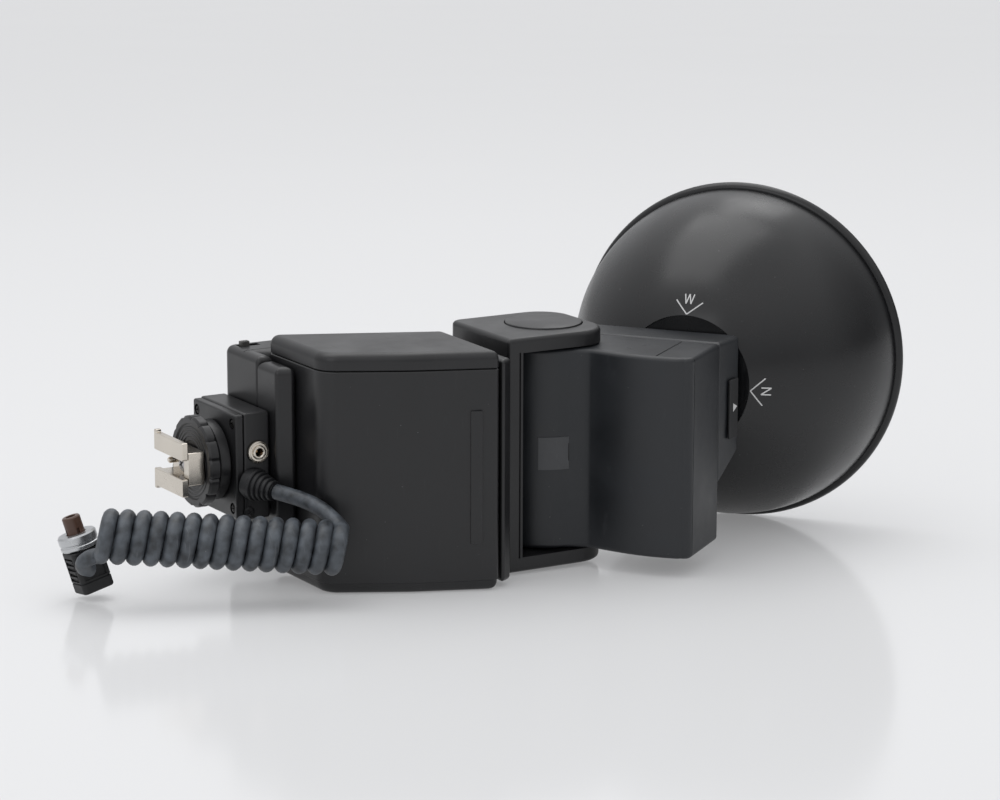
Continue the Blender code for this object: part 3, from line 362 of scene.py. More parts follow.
LOOKS = {
    "body_plastic": finish("case_black", (0.0085, 0.0085, 0.0095), 0.36, 0.0, 2600.0, 0.010, 0.10),
    "head_plastic": finish("head_grey_black", (0.0125, 0.0142, 0.0170), 0.44, 0.0, 2200.0, 0.016, 0.12),
    "soft_black": finish("matte_black", (0.009, 0.009, 0.010), 0.58, 0.0, 1400.0, 0.03, 0.15),
    "relief_rubber": finish("boot_rubber", (0.012, 0.0125, 0.014), 0.52, 0.0, 1200.0, 0.03, 0.2),
    "reflector_paint": finish("satin_paint", (0.0040, 0.0042, 0.0050), 0.27, 0.0, 420.0, 0.006, 0.05),
    "nickel": finish(
        "nickel_plate", (0.66, 0.61, 0.54), 0.24, 1.0, 1800.0, 0.008, 0.5, (0.34, 0.31, 0.27), 0.08,
    ),
    "steel": finish("steel", (0.46, 0.45, 0.45), 0.32, 1.0, 2400.0, 0.012, 0.5, (0.28, 0.27, 0.26), 0.10),
    "cell_metal": finish("cell_sleeve", (0.10, 0.075, 0.03), 0.34, 0.6, 900.0, 0.01, 0.3),
    "contact_metal": finish(
        "copper_alloy", (0.60, 0.40, 0.24), 0.34, 1.0, 1500.0, 0.01, 0.4, (0.3, 0.2, 0.14), 0.1,
    ),
    "board": finish("circuit_board", (0.02, 0.09, 0.045), 0.48, 0.0, 700.0, 0.02, 0.2),
    "glass": clear_finish("tube_glass", (0.80, 0.84, 0.88), 0.06, 0.85),
    "window_plastic": clear_finish("display_window_grey", (0.05, 0.055, 0.06), 0.12, 0.25),
    "lamp_red": finish("lamp_red", (0.42, 0.02, 0.015), 0.18, 0.0, 700.0, 0.006, 0.1),
    "button_plastic": finish("button_grey", (0.34, 0.345, 0.35), 0.40, 0.0, 1800.0, 0.012, 0.2),
    "cord_rubber": finish(
        "cord_grey", (0.056, 0.064, 0.074), 0.46, 0.0, 1100.0, 0.04, 0.55, (0.15, 0.16, 0.17), 0.62, 260.0,
    ),
    "plug_metal": finish(
        "plug_collar", (0.52, 0.53, 0.54), 0.30, 0.85, 1600.0, 0.010, 0.5, (0.3, 0.3, 0.3), 0.1,
    ),
    "plug_plastic": finish("plug_brown", (0.085, 0.042, 0.027), 0.42, 0.0, 1300.0, 0.02, 0.3),
}
CASE_BLACK = LOOKS["body_plastic"]
MATT_BLACK = LOOKS["soft_black"]
BOWL_INSIDE = finish(
    "bowl_inside_silver", (0.70, 0.71, 0.72), 0.22, 1.0, 300.0, 0.010, 0.25, (0.5, 0.5, 0.5), 0.05,
)
WHITE_INK = finish("white_ink", (0.62, 0.62, 0.62), 0.5, 0.0, 1500.0, 0.01, 0.3, (0.35, 0.35, 0.35), 0.12)
PLATE_GREY = finish("label_grey", (0.050, 0.052, 0.056), 0.42, 0.0, 1800.0, 0.01, 0.2)
BLACKENED_STEEL = finish(
    "blackened_steel", (0.020, 0.019, 0.018), 0.36, 0.7, 1800.0, 0.010, 0.4, (0.12, 0.115, 0.11),
)
SLIDER_GREY = finish("slider_grey", (0.055, 0.053, 0.050), 0.42, 0.0, 1800.0, 0.012, 0.3)
BADGE_BLACK = finish("badge_gloss", (0.006, 0.006, 0.007), 0.18, 0.0, 900.0, 0.004, 0.2)

# ---------------------------------------------------------------- shape helpers

ARC_STEPS = 10


def new_piece(name, builder, looks, sharp=32.0, weighted=False):
    bmesh.ops.remove_doubles(builder, verts=builder.verts, dist=0.000001)
    bmesh.ops.recalc_face_normals(builder, faces=builder.faces)
    mesh = bpy.data.meshes.new(name)
    builder.to_mesh(mesh)
    builder.free()
    mesh.shade_smooth()
    mesh.set_sharp_from_angle(angle=math.radians(sharp))
    for look in looks:
        mesh.materials.append(look)
    made = bpy.data.objects.new(name, mesh)
    bpy.context.scene.collection.objects.link(made)
    if weighted:
        weight_normals(made)
    return made


def weight_normals(made):
    modifier = made.modifiers.new("weighted", "WEIGHTED_NORMAL")
    modifier.keep_sharp = True


def carve(target, *cutters, sharp=32.0):
    """Cuts the closed cutters out of the target, applies the cut and removes the cutters."""
    target.modifiers.clear()
    for cutter in cutters:
        cutter.modifiers.clear()
        modifier = target.modifiers.new("cut", "BOOLEAN")
        modifier.operation = "DIFFERENCE"
        modifier.solver = "EXACT"
        modifier.object = cutter
    bpy.context.view_layer.update()
    graph = bpy.context.evaluated_depsgraph_get()
    mesh = bpy.data.meshes.new_from_object(target.evaluated_get(graph))
    target.modifiers.clear()
    target.data = mesh
    mesh.shade_smooth()
    mesh.set_sharp_from_angle(angle=math.radians(sharp))
    for cutter in cutters:
        bpy.data.objects.remove(cutter, do_unlink=True)
    weight_normals(target)
    return target


def moved(made, matrix):
    """Bakes a placement into the piece's mesh, in the frame it is being built in."""
    made.data.transform(matrix)
    return made


def put(made, place, body, nodes=()):
    """Places a finished piece, hangs it on its body and lets it stand for CAD nodes."""
    made.matrix_world = place
    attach(made, body)
    if nodes:
        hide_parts(*nodes)
    return made


def arc_points(centre, radius, start, end, steps):
    spread = (end - start) / steps
    angles = [start + spread * index for index in range(steps + 1)]
    return [(centre[0] + radius * math.cos(a), centre[1] + radius * math.sin(a)) for a in angles]


def rounded(corners, steps=ARC_STEPS):
    """An outline from (x, y, radius) corners, with an arc of that radius at each corner."""
    outline = []
    count = len(corners)
    for index in range(count):
        here = Vector(corners[index][:2])
        radius = corners[index][2]
        if radius <= 0:
            outline.append(tuple(here))
            continue
        back = (Vector(corners[index - 1][:2]) - here).normalized()
        ahead = (Vector(corners[(index + 1) % count][:2]) - here).normalized()
        half = back.angle(ahead) / 2
        centre = here + (back + ahead).normalized() * (radius / math.sin(half))
        first = here + back * (radius / math.tan(half)) - centre
        last = here + ahead * (radius / math.tan(half)) - centre
        start = math.atan2(first.y, first.x)
        sweep = math.atan2(first.cross(last), first.dot(last))
        outline += arc_points(centre, radius, start, start + sweep, steps)
    return outline


def rectangle(half_x, half_y, radius, steps=6):
    corners = [
        (-half_x, -half_y, radius), (half_x, -half_y, radius), (half_x, half_y, radius),
        (-half_x, half_y, radius),
    ]
    return rounded(corners, steps)


def inset(outline, distance):
    """The outline moved inwards by a distance; it runs counter-clockwise."""
    result = []
    count = len(outline)
    for index in range(count):
        here = Vector(outline[index])
        before = (here - Vector(outline[index - 1])).normalized()
        after = (Vector(outline[(index + 1) % count]) - here).normalized()
        normal = (Vector((-before.y, before.x)) + Vector((-after.y, after.x))).normalized()
        stretch = max(0.3, normal.dot(Vector((-before.y, before.x))))
        result.append(tuple(here + normal * (distance / stretch)))
    return result


def pulled_in(corners, margin):
    """(x, y, radius) corners moved inwards by a margin, with their radii reduced to match."""
    inner = inset([corner[:2] for corner in corners], margin)
    radii = [max(corner[2] - margin, 0.4 * MM) if corner[2] > 0 else 0.0 for corner in corners]
    return [(x, y, radius) for (x, y), radius in zip(inner, radii)]


def add_rings(builder, rings):
    made = [[builder.verts.new(point) for point in ring] for ring in rings]
    count = len(made[0])
    for lower, upper in zip(made, made[1:]):
        for index in range(count):
            following = (index + 1) % count
            builder.faces.new((lower[index], lower[following], upper[following], upper[index]))
    builder.faces.new(list(reversed(made[0])))
    builder.faces.new(made[-1])


def ring_at(shape, distance):
    """The shape moved inwards; it is an outline, or (x, y, radius) corners that are rounded afresh."""
    if len(shape[0]) == 3:
        return rounded(pulled_in(shape, distance) if distance > 0 else shape)
    return inset(shape, distance) if distance > 0 else shape


def stacked(name, shape, levels, looks):
    """An upright body through (inset, height) levels of one shape."""
    rings = []
    for distance, height in levels:
        rings.append([(x, y, height) for x, y in ring_at(shape, distance)])
    builder = bmesh.new()
    add_rings(builder, rings)
    return new_piece(name, builder, looks, weighted=True)


def fillet_levels(low, high, bottom, top, steps=6):
    quarter = [math.pi / 2 * index / steps for index in range(steps + 1)]
    levels = [
        (bottom * (1 - math.sin(a)), low + bottom * (1 - math.cos(a))) for a in quarter
    ] if bottom > 0 else [(0.0, low)]
    levels += [
        (top * (1 - math.cos(a)), high - top * (1 - math.sin(a))) for a in quarter
    ] if top > 0 else [(0.0, high)]
    return levels


def prism(name, outline, low, high, look, bottom=0.0, top=0.0, steps=6):
    return stacked(name, outline, fillet_levels(low, high, bottom, top, steps), [look])


def block(name, low, high, look, radius=0.0, fillet=0.0):
    corners = [
        (low[0], low[1], radius), (high[0], low[1], radius), (high[0], high[1], radius),
        (low[0], high[1], radius),
    ]
    return prism(
        name, corners if radius > 0 else rounded(corners), low[2], high[2], look, fillet, fillet, 4,
    )


def bar(name, half_x, half_y, low, high, look, radius=0.0, fillet=0.0):
    """A block centred on the local Z axis."""
    return block(name, (-half_x, -half_y, low), (half_x, half_y, high), look, radius, fillet)


def turned(name, profile, look, segments=64, sharp=32.0, inside=None, inner_from=None):
    """A closed (radius, z) profile turned about local Z; strips from inner_from on take the inside look."""
    builder = bmesh.new()
    columns = []
    for radius, height in profile:
        if radius == 0:
            columns.append([builder.verts.new((0.0, 0.0, height))])
            continue
        turns = [FULL_TURN * index / segments for index in range(segments)]
        columns.append(
            [builder.verts.new((radius * math.cos(t), radius * math.sin(t), height)) for t in turns]
        )
    for strip, (here, following) in enumerate(zip(columns, columns[1:] + columns[:1])):
        if len(here) == 1 and len(following) == 1:
            continue
        for index in range(segments):
            after = (index + 1) % segments
            corners = [here[index % len(here)], here[after % len(here)]]
            corners += [following[after % len(following)], following[index % len(following)]]
            face = builder.faces.new(list(dict.fromkeys(corners)))
            if inner_from is not None and strip >= inner_from:
                face.material_index = 1
    looks = [look] if inside is None else [look, inside]
    return new_piece(name, builder, looks, sharp)


def disc(name, radius, low, high, look, segments=64, chamfer=0.3 * MM):
    profile = [(0.0, low), (radius - chamfer, low), (radius, low + chamfer)]
    profile += [(radius, high - chamfer), (radius - chamfer, high), (0.0, high)]
    return turned(name, profile, look, segments)


def ring(name, outer, inner, low, high, look, segments=64, chamfer=0.3 * MM):
    profile = [(inner, low), (outer - chamfer, low), (outer, low + chamfer)]
    profile += [(outer, high - chamfer), (outer - chamfer, high), (inner, high)]
    return turned(name, profile, look, segments)


def smooth_route(points, per_span):
    """A Catmull-Rom curve through the points, read at equal parameter steps."""
    knots = [Vector(point) for point in points]
    padded = [knots[0] * 2 - knots[1]] + knots + [knots[-1] * 2 - knots[-2]]
    route = []
    for index in range(1, len(padded) - 2):
        a, b, c, d = padded[index - 1 : index + 3]
        for step in range(per_span):
            t = step / per_span
            point = b * 2 + (c - a) * t + (a * 2 - b * 5 + c * 4 - d) * t * t
            point += (b * 3 - a - c * 3 + d) * t * t * t
            route.append(point / 2)
    route.append(knots[-1])
    return route


# ---------------------------------------------------------------- battery housing and lid


def housing_corners(margin=0.0):
    left = -HOUSING_LENGTH
    near_left = FRONT_SLOPE * HOUSING_LENGTH
    outward = Vector((-FRONT_SLOPE, -1.0)).normalized()
    middle = Vector((left, near_left)) * 0.5 + outward * FRONT_BULGE
    corners = [
        (left, near_left, 9.0 * MM),
        (middle.x, middle.y, 60.0 * MM),
        mm(0.0, 0.0, 1.8),
        (1.5 * MM, HOUSING_DEPTH, 3.4 * MM),
        (left, near_left + HOUSING_DEPTH, 3.4 * MM),
    ]
    return pulled_in(corners, margin) if margin > 0 else corners


def badge_frame():
    face = math.hypot(HOUSING_LENGTH, HOUSING_LENGTH * FRONT_SLOPE)
    slant = math.atan2(-FRONT_SLOPE, 1.0) - math.atan2(2 * FRONT_BULGE, face)
    return shift(-8.2 * MM, 2.2 * MM, 39.6 * MM) @ turn(math.pi / 2, 0.0, slant)


def battery_housing():
    lip = 0.45 * MM
    step = 3.6 * MM
    base_fillet = 3.4 * MM
    levels = [
        (lip + distance, height) for distance, height in fillet_levels(0.0, step, base_fillet, 0.0, 7)
    ]
    levels[-1] = (lip, step)
    levels += [(lip, step + 0.1 * MM), (0.12 * MM, step + 0.3 * MM), (0.0, step + 0.5 * MM)]
    levels += [(0.0, SEAM_Z - 0.3 * MM), (0.25 * MM, SEAM_Z)]
    shell = stacked("battery_case", housing_corners(), levels, [CASE_BLACK])
    hollow = prism("hollow", housing_corners(WALL), WALL * 1.6, SEAM_Z + 5 * MM, MATT_BLACK)
    recess = moved(
        prism("recess", rectangle(2.25 * MM, 23.2 * MM, 0.4 * MM), -0.6 * MM, 2.0 * MM, CASE_BLACK),
        badge_frame(),
    )
    carve(shell, hollow, recess)
    put(shell, REST, "body", ["battery_housing"])
    badge = prism(
        "badge_plate_blank", rectangle(2.0 * MM, 22.9 * MM, 0.3 * MM), -0.5 * MM, -0.25 * MM, BADGE_BLACK,
        0.0, 0.1 * MM, 2,
    )
    put(badge, REST @ badge_frame(), "body", ["badge_plate"])


def battery_lid():
    low = SEAM_Z + FIT_GAP
    levels = [(0.25 * MM, low), (0.0, low + 0.3 * MM)] + fillet_levels(low, WIDTH, 0.0, 3.0 * MM, 8)[1:]
    lid = stacked("battery_door", housing_corners(), levels, [CASE_BLACK])
    carve(lid, prism("recess", housing_corners(WALL), low - 1 * MM, WIDTH - 2.4 * MM, CASE_BLACK))
    put(lid, REST, "battery_lid", ["battery_lid"])


# ---------------------------------------------------------------- control housing and its panel


def control_housing():
    left = -HOUSING_LENGTH - 1.0 * MM
    back_left = FRONT_SLOPE * HOUSING_LENGTH + HOUSING_DEPTH + 1.0 * MM
    corners = [
        (CONTROL_LEFT, 58.0 * MM, 1.5 * MM),
        (left, 58.0 * MM, 0.0),
        (left, back_left, 0.0),
        (1.6 * MM, HOUSING_DEPTH + 0.8 * MM, 0.0),
        mm(1.6, 60.0, 2.0),
        (-26.0 * MM, CONTROL_BACK, 12.0 * MM),
        (CONTROL_LEFT, CONTROL_BACK, 4.0 * MM),
    ]
    look = CASE_BLACK
    shell = prism("control_case", corners, CONTROL_BOTTOM, CONTROL_TOP, look, 3.0 * MM, 2.5 * MM, 7)
    inner = [
        mm(-59.0, 68.6, 1.0),
        mm(-8.0, 50.5, 1.0),
        mm(-1.0, 50.5, 1.0),
        mm(-1.0, 58.5, 1.0),
        (-27.0 * MM, CONTROL_BACK + 2 * MM, 0.0),
        (-59.0 * MM, CONTROL_BACK + 2 * MM, 0.0),
    ]
    hollow = prism("hollow", rounded(inner), 11.0 * MM, 71.0 * MM, look)
    slot = block("slot", mm(-58.5, 77.0, 75.2), mm(-50.5, 80.2, 79.0), look)
    seam = block("seam", mm(-63.0, 70.2, 75.9), mm(3.0, 70.6, 79.0), look)
    carve(shell, hollow, slot, seam)
    put(shell, REST, "body", ["control_housing"])
    post = [
        (CONTROL_LEFT, 44.5 * MM, 1.6 * MM),
        (-HOUSING_LENGTH - FIT_GAP, 41.5 * MM, 1.6 * MM),
        (-HOUSING_LENGTH - FIT_GAP, 58.0 * MM - FIT_GAP, 0.0),
        (CONTROL_LEFT, 58.0 * MM - FIT_GAP, 0.0),
    ]
    made = prism("corner_filler", post, CONTROL_BOTTOM, 75.0 * MM, look, 2.5 * MM, 2.8 * MM, 7)
    put(made, REST, "body", ["corner_post"])
    half_x = 1.7 * MM
    half_y = 1.2 * MM
    knob = bar("power_slider", half_x, half_y, 0.0, 2.4 * MM, SLIDER_GREY, 0.6 * MM, 0.4 * MM)
    ridge = [
        block("ridge", (x - 0.15 * MM, -2 * MM, 2.1 * MM), (x + 0.15 * MM, 2 * MM, 3 * MM), MATT_BLACK)
        for x in mm(-0.8, 0.0, 0.8)
    ]
    carve(knob, *ridge)
    put(
        knob, REST @ shift(-56.0 * MM, 78.6 * MM, CONTROL_TOP - 0.8 * MM), "power_switch", ["power_switch"],
    )


def dial():
    """The mode dial: a knurled skirt, a raised grip bar and a white index line."""
    teeth = 36
    outline = []
    for index in range(teeth * 2):
        radius = 9.0 * MM if index % 2 else 8.6 * MM
        angle = math.pi * index / teeth
        outline.append((radius * math.cos(angle), radius * math.sin(angle)))
    skirt = prism("dial_skirt", outline, 0.4 * MM, 2.6 * MM, MATT_BLACK, 0.0, 0.3 * MM, 3)
    place = PANEL @ shift(0.0, DIAL_Y)
    put(skirt, place, "mode_dial", ["mode_dial"])
    top = disc("dial_top", 7.6 * MM, 2.7 * MM, 3.3 * MM, CASE_BLACK)
    put(top, place, "mode_dial")
    grip = prism(
        "dial_grip", rectangle(1.5 * MM, 7.0 * MM, 1.4 * MM), 3.4 * MM, 4.2 * MM, CASE_BLACK, 0.0, 0.3 * MM,
        4,
    )
    put(grip, place, "mode_dial")
    line = prism("dial_index", rectangle(0.25 * MM, 2.0 * MM, 0.1 * MM), 4.22 * MM, 4.3 * MM, WHITE_INK)
    put(line, place @ shift(0.0, 4.2 * MM, 0.0), "mode_dial")
    for index in range(11):
        angle = math.radians(-150 + 30 * index + 90)
        tick = prism(
            f"dial_tick_{index + 1}", rectangle(0.9 * MM, 0.12 * MM, 0.05 * MM), 0.02 * MM, 0.1 * MM,
            WHITE_INK,
        )
        put(tick, place @ turn(z=angle) @ shift(11.2 * MM, 0.0, 0.0), "body")


def control_panel():
    look = MATT_BLACK
    half_z = 28.5 * MM
    centre = shift(0.15 * MM, 0.25 * MM, 0.0)
    plate = prism(
        "rear_panel", rectangle(13.65 * MM, half_z, 0.8 * MM), -2.0 * MM, 0.0, look, 0.0, 0.25 * MM, 3,
    )
    moved(plate, centre)
    holes = [moved(disc("hole", 2.4 * MM, -4 * MM, 2 * MM, look), shift(0.0, DIAL_Y))]
    for index in range(3):
        place = shift(BUTTON_PITCH * (index - 1), BUTTON_Y)
        holes.append(moved(disc("hole", 2.3 * MM, -4 * MM, 2 * MM, look), place))
    carve(plate, *holes)
    put(plate, PANEL, "body", ["control_panel"])
    window_place = PANEL @ shift(0.0, WINDOW_Y)
    bezel = prism(
        "window_bezel", rectangle(12.0 * MM, 9.0 * MM, 1.4 * MM), 0.02 * MM, 0.9 * MM, CASE_BLACK, 0.0,
        0.4 * MM, 4,
    )
    carve(bezel, prism("opening", rectangle(10.9 * MM, 7.9 * MM, 0.9 * MM), -1 * MM, 2 * MM, look))
    put(bezel, window_place, "body")
    glass = prism(
        "display_glass", rectangle(10.7 * MM, 7.7 * MM, 0.8 * MM), 0.3 * MM, 1.1 * MM,
        LOOKS["window_plastic"], 0.0, 0.3 * MM, 3,
    )
    put(glass, window_place, "body", ["display_window"])
    for index in range(3):
        place = PANEL @ shift(BUTTON_PITCH * (index - 1), BUTTON_Y)
        stem = [mm(0.0, -1.4), mm(1.9, -1.4), mm(1.9, 1.3), mm(1.75, 1.6)]
        stem += [mm(1.4, 1.78), mm(1.0, 1.7), mm(0.0, 1.6)]
        button = turned(f"button_cap_{index + 1}", stem, LOOKS["button_plastic"], 40)
        put(button, place, f"button_{index + 1}", [f"panel_button_{index + 1}"])
        seat = turned(
            f"button_seat_{index + 1}", [mm(2.35, 0.02), mm(3.0, 0.02), mm(2.9, 0.3), mm(2.45, 0.3)],
            CASE_BLACK, 40,
        )
        put(seat, place, "body")
    dome = [mm(0.0, 0.3)] + [
        (1.8 * MM * math.cos(a), 0.3 * MM + 1.3 * MM * math.sin(a)) for a in (0.0, 0.3, 0.6, 0.9, 1.2)
    ] + [mm(0.0, 1.6)]
    lamp = turned("ready_light", dome, LOOKS["lamp_red"], 40)
    put(lamp, PANEL @ shift(9.5 * MM, 26.0 * MM, 0.0), "body", ["ready_lamp"])
    dial()


# ---------------------------------------------------------------- foot, ring and shoe


def phillips_cut(depth_from, half_length=1.0 * MM, half_width=0.24 * MM):
    """Two crossed slots, as a pair of cutters."""
    look = MATT_BLACK
    one = bar("slot", half_length, half_width, depth_from, depth_from + 3 * MM, look)
    other = bar("slot", half_width, half_length, depth_from, depth_from + 3 * MM, look)
    return one, other


def foot_block():
    look = CASE_BLACK
    low = (FOOT_LEFT, FOOT_Y - FOOT_HALF_Y, MID_Z - FOOT_HALF_Z)
    high = (FOOT_RIGHT, FOOT_Y + FOOT_HALF_Y, MID_Z + FOOT_HALF_Z)
    shell = block("foot_case", low, high, look, 0.7 * MM, 0.9 * MM)
    to_rest = REST.inverted()
    jack_bore = moved(disc("bore", 2.9 * MM, -9.0 * MM, 2.0 * MM, look), to_rest @ JACK)
    post_bore = moved(disc("bore", POST_BORE, -6.0 * MM, 2.0 * MM, look), to_rest @ FOOT)
    carve(shell, jack_bore, post_bore)
    put(shell, REST, "body", ["foot_block"])
    half_z = FOOT_HALF_Z - 0.4 * MM
    half_y = FOOT_HALF_Y - 0.4 * MM
    plate = prism(
        "foot_cover", rectangle(half_z, half_y, 1.0 * MM), FIT_GAP, 3.0 * MM, look, 0.2 * MM, 0.6 * MM, 4,
    )
    cutters = [disc("bore", POST_BORE, -1.0 * MM, 5.0 * MM, look)]
    places = [
        (side_z * 14.6 * MM, side_y * 13.2 * MM) for side_z, side_y in ((-1, -1), (1, -1), (-1, 1), (1, 1))
    ]
    for x, y in places:
        cutters.append(moved(disc("pocket", 1.9 * MM, 1.6 * MM, 5.0 * MM, look, 40, 0.1 * MM), shift(x, y)))
    carve(plate, *cutters)
    put(plate, FOOT, "body", ["foot_end_plate"])
    for index, (x, y) in enumerate(places):
        head = [mm(0.0, 1.9), mm(1.5, 1.9), mm(1.5, 2.4), mm(1.3, 2.7), mm(0.9, 2.88), mm(0.0, 2.9)]
        screw = turned(f"cover_screw_{index + 1}", head, BLACKENED_STEEL, 40)
        carve(screw, *phillips_cut(2.35 * MM, 0.85 * MM, 0.2 * MM))
        put(screw, FOOT @ shift(x, y) @ turn(z=0.4 + index), "body", [f"foot_screw_{index + 1}"])
    side_screw = turned(
        "side_screw", [(0.0, 0.0), mm(2.0, 0.0), mm(1.9, 0.35), mm(1.3, 0.55), mm(0.0, 0.6)], look, 40,
    )
    carve(side_screw, *phillips_cut(0.2 * MM, 1.1 * MM, 0.22 * MM))
    put(
        side_screw, JACK @ shift(-3.4 * MM, -20.6 * MM, 0.02 * MM) @ turn(z=0.5), "body", (),
    )
    hub = ring("foot_collar", 13.8 * MM, POST_BORE, 3.0 * MM + FIT_GAP, HUB_TOP, look, 96, 0.5 * MM)
    put(hub, FOOT, "body", ["foot_hub"])


def locking_ring():
    """The clamping ring: broad grip segments outside, a recessed face with turned ridges inside."""
    look = CASE_BLACK
    notches = 14
    per_notch = 10
    outer = []
    inner = []
    for index in range(notches * per_notch):
        angle = FULL_TURN * index / (notches * per_notch)
        share = (index % per_notch) / per_notch
        radius = 0.945 if share < 0.05 else 0.985 if share < 0.15 or share > 0.85 else 1.0
        outer.append((radius * math.cos(angle), radius * math.sin(angle)))
        inner.append((math.cos(angle), math.sin(angle)))
    bore = POST_BORE
    low = RING_BOTTOM
    high = RING_TOP
    bevel = 0.7 * MM
    profile = [(bore, low, False), (RING_RADIUS - bevel, low, True), (RING_RADIUS, low + bevel, True)]
    profile += [
        (RING_RADIUS, high - bevel, True), (RING_RADIUS - bevel, high, True),
        (RING_RADIUS - 2.6 * MM, high, False),
    ]
    profile += [(RING_RADIUS - 3.0 * MM, high - 0.6 * MM, False)]
    for index in range(4):
        radius = RING_RADIUS - 3.6 * MM - index * 1.4 * MM
        profile += [(radius, high - 0.6 * MM, False), (radius - 0.25 * MM, high - 0.35 * MM, False)]
        profile += [
            (radius - 0.65 * MM, high - 0.35 * MM, False), (radius - 0.9 * MM, high - 0.6 * MM, False),
        ]
    profile.append((bore, high - 0.6 * MM, False))
    builder = bmesh.new()
    rings = []
    for radius, height, ribs in profile:
        shape = outer if ribs else inner
        rings.append([builder.verts.new((x * radius, y * radius, height)) for x, y in shape])
    for here, following in zip(rings, rings[1:] + rings[:1]):
        for index in range(len(here)):
            after = (index + 1) % len(here)
            builder.faces.new((here[index], here[after], following[after], following[index]))
    made = new_piece("clamp_ring", builder, [look], 25.0)
    put(made, FOOT, "locking_ring", ["locking_ring"])


def shoe():
    nickel = LOOKS["nickel"]
    half_width = SHOE_WIDTH / 2
    half_length = SHOE_LENGTH / 2
    slot = SHOE_SLOT / 2
    web = 3.5 * MM - half_length
    corner = 0.5 * MM
    lip = 0.9 * MM
    lip_start = half_length - 1.6 * MM
    low = SHOE_TOP - SHOE_SHEET
    for side, name in ((1, "shoe_rail_upper"), (-1, "shoe_rail_lower")):
        rail = [
            (slot, -half_length, corner),
            (half_width, -half_length, corner),
            (half_width, lip_start, 0.3 * MM),
            (half_width + lip, lip_start, 0.3 * MM),
            (half_width + lip, half_length, 0.3 * MM),
            (slot, half_length, corner),
        ]
        if side < 0:
            rail = [(-x, y, radius) for x, y, radius in reversed(rail)]
        made = prism(name, rounded(rail, 5), low, SHOE_TOP, nickel, 0.1 * MM, 0.25 * MM, 3)
        put(made, FOOT, "body", ["shoe_plate"])
    neck_half = 5.7 * MM
    neck_low = RING_TOP + FIT_GAP
    neck = block(
        "shoe_stem", (-neck_half, -half_length, neck_low), (neck_half, half_length - 2 * MM, low - FIT_GAP),
        nickel, 0.6 * MM, 0.15 * MM,
    )
    floor = neck_low + 2.0 * MM
    carve(
        neck,
        block("pocket", (-slot - 0.2 * MM, web, floor), (slot + 0.2 * MM, half_length, SHOE_TOP), nickel),
    )
    put(neck, FOOT, "body", ["shoe_neck"])
    head = floor + FIT_GAP
    profile = [
        (0.0, head), (2.9 * MM, head), (2.9 * MM, head + 0.8 * MM), (2.6 * MM, head + 1.2 * MM),
        (1.8 * MM, head + 1.48 * MM), (0.0, head + 1.5 * MM),
    ]
    screw = turned("shoe_fixing_screw", profile, LOOKS["steel"], 48)
    carve(screw, *phillips_cut(head + 0.6 * MM, 1.6 * MM, 0.35 * MM))
    put(screw, FOOT @ shift(0.0, -1.0 * MM) @ turn(z=0.6), "body", ["shoe_screw"])
    pin = turned(
        "hot_contact",
        [
            (0.0, head), (1.1 * MM, head), (1.1 * MM, head + 2.4 * MM), (0.8 * MM, head + 2.9 * MM),
            (0.0, head + 3.0 * MM),
        ],
        nickel, 40,
    )
    put(pin, FOOT @ shift(0.0, 6.0 * MM), "body", ["contact_pin"])


def sync_jack():
    bore = 1.35 * MM
    profile = [(bore, -7.0 * MM), mm(2.6, -7.0), (2.6 * MM, FIT_GAP), (3.9 * MM, FIT_GAP), mm(3.9, 0.8)]
    profile += [mm(3.75, 1.1), mm(3.3, 1.25), mm(3.1, 1.0), mm(2.5, 1.0), mm(2.35, 1.6)]
    profile += [mm(2.0, 1.75), mm(1.6, 1.7), (bore, 1.4 * MM)]
    put(turned("sync_socket", profile, LOOKS["nickel"], 64), JACK, "body", ["sync_jack"])


def strain_relief():
    """A tapered boot with ribs, trimmed flat where it meets the block."""
    base = Vector((-68.3 * MM, FOOT_Y - FOOT_HALF_Y - FIT_GAP, RELIEF_Z))
    towards = Vector(LEAD_ROUTE[0]) * MM - base
    place = Matrix.Translation(base) @ towards.to_track_quat("Z", "X").to_matrix().to_4x4()
    ribs = 5
    big = 5.6 * MM
    small = 3.5 * MM
    start = 1.0 * MM
    end = towards.length - FIT_GAP
    profile = [(0.0, start - 3.0 * MM), (big - 0.4 * MM, start - 3.0 * MM)]
    pitch = (end - start) / ribs
    for index in range(ribs):
        low = start + pitch * index
        radius = big + (small - big) * index / (ribs - 1)
        valley = radius - 0.9 * MM
        profile += [
            (radius - 0.25 * MM, low), (radius, low + pitch * 0.15), (radius, low + pitch * 0.42),
            (radius - 0.25 * MM, low + pitch * 0.55),
        ]
        profile += [(valley, low + pitch * 0.62), (valley, low + pitch * 0.95)]
    profile += [(small - 0.3 * MM, end), (0.0, end)]
    boot = moved(turned("cord_boot", profile, LOOKS["relief_rubber"], 48, 25.0), place)
    face = FOOT_Y - FOOT_HALF_Y - FIT_GAP
    carve(
        boot,
        block(
            "trim", (-80 * MM, face, 20 * MM), (-55 * MM, face + 15 * MM, 55 * MM), LOOKS["relief_rubber"],
        ),
        sharp=25.0,
    )
    put(boot, REST, "body", ["strain_relief"])


# ---------------------------------------------------------------- swivel and yoke


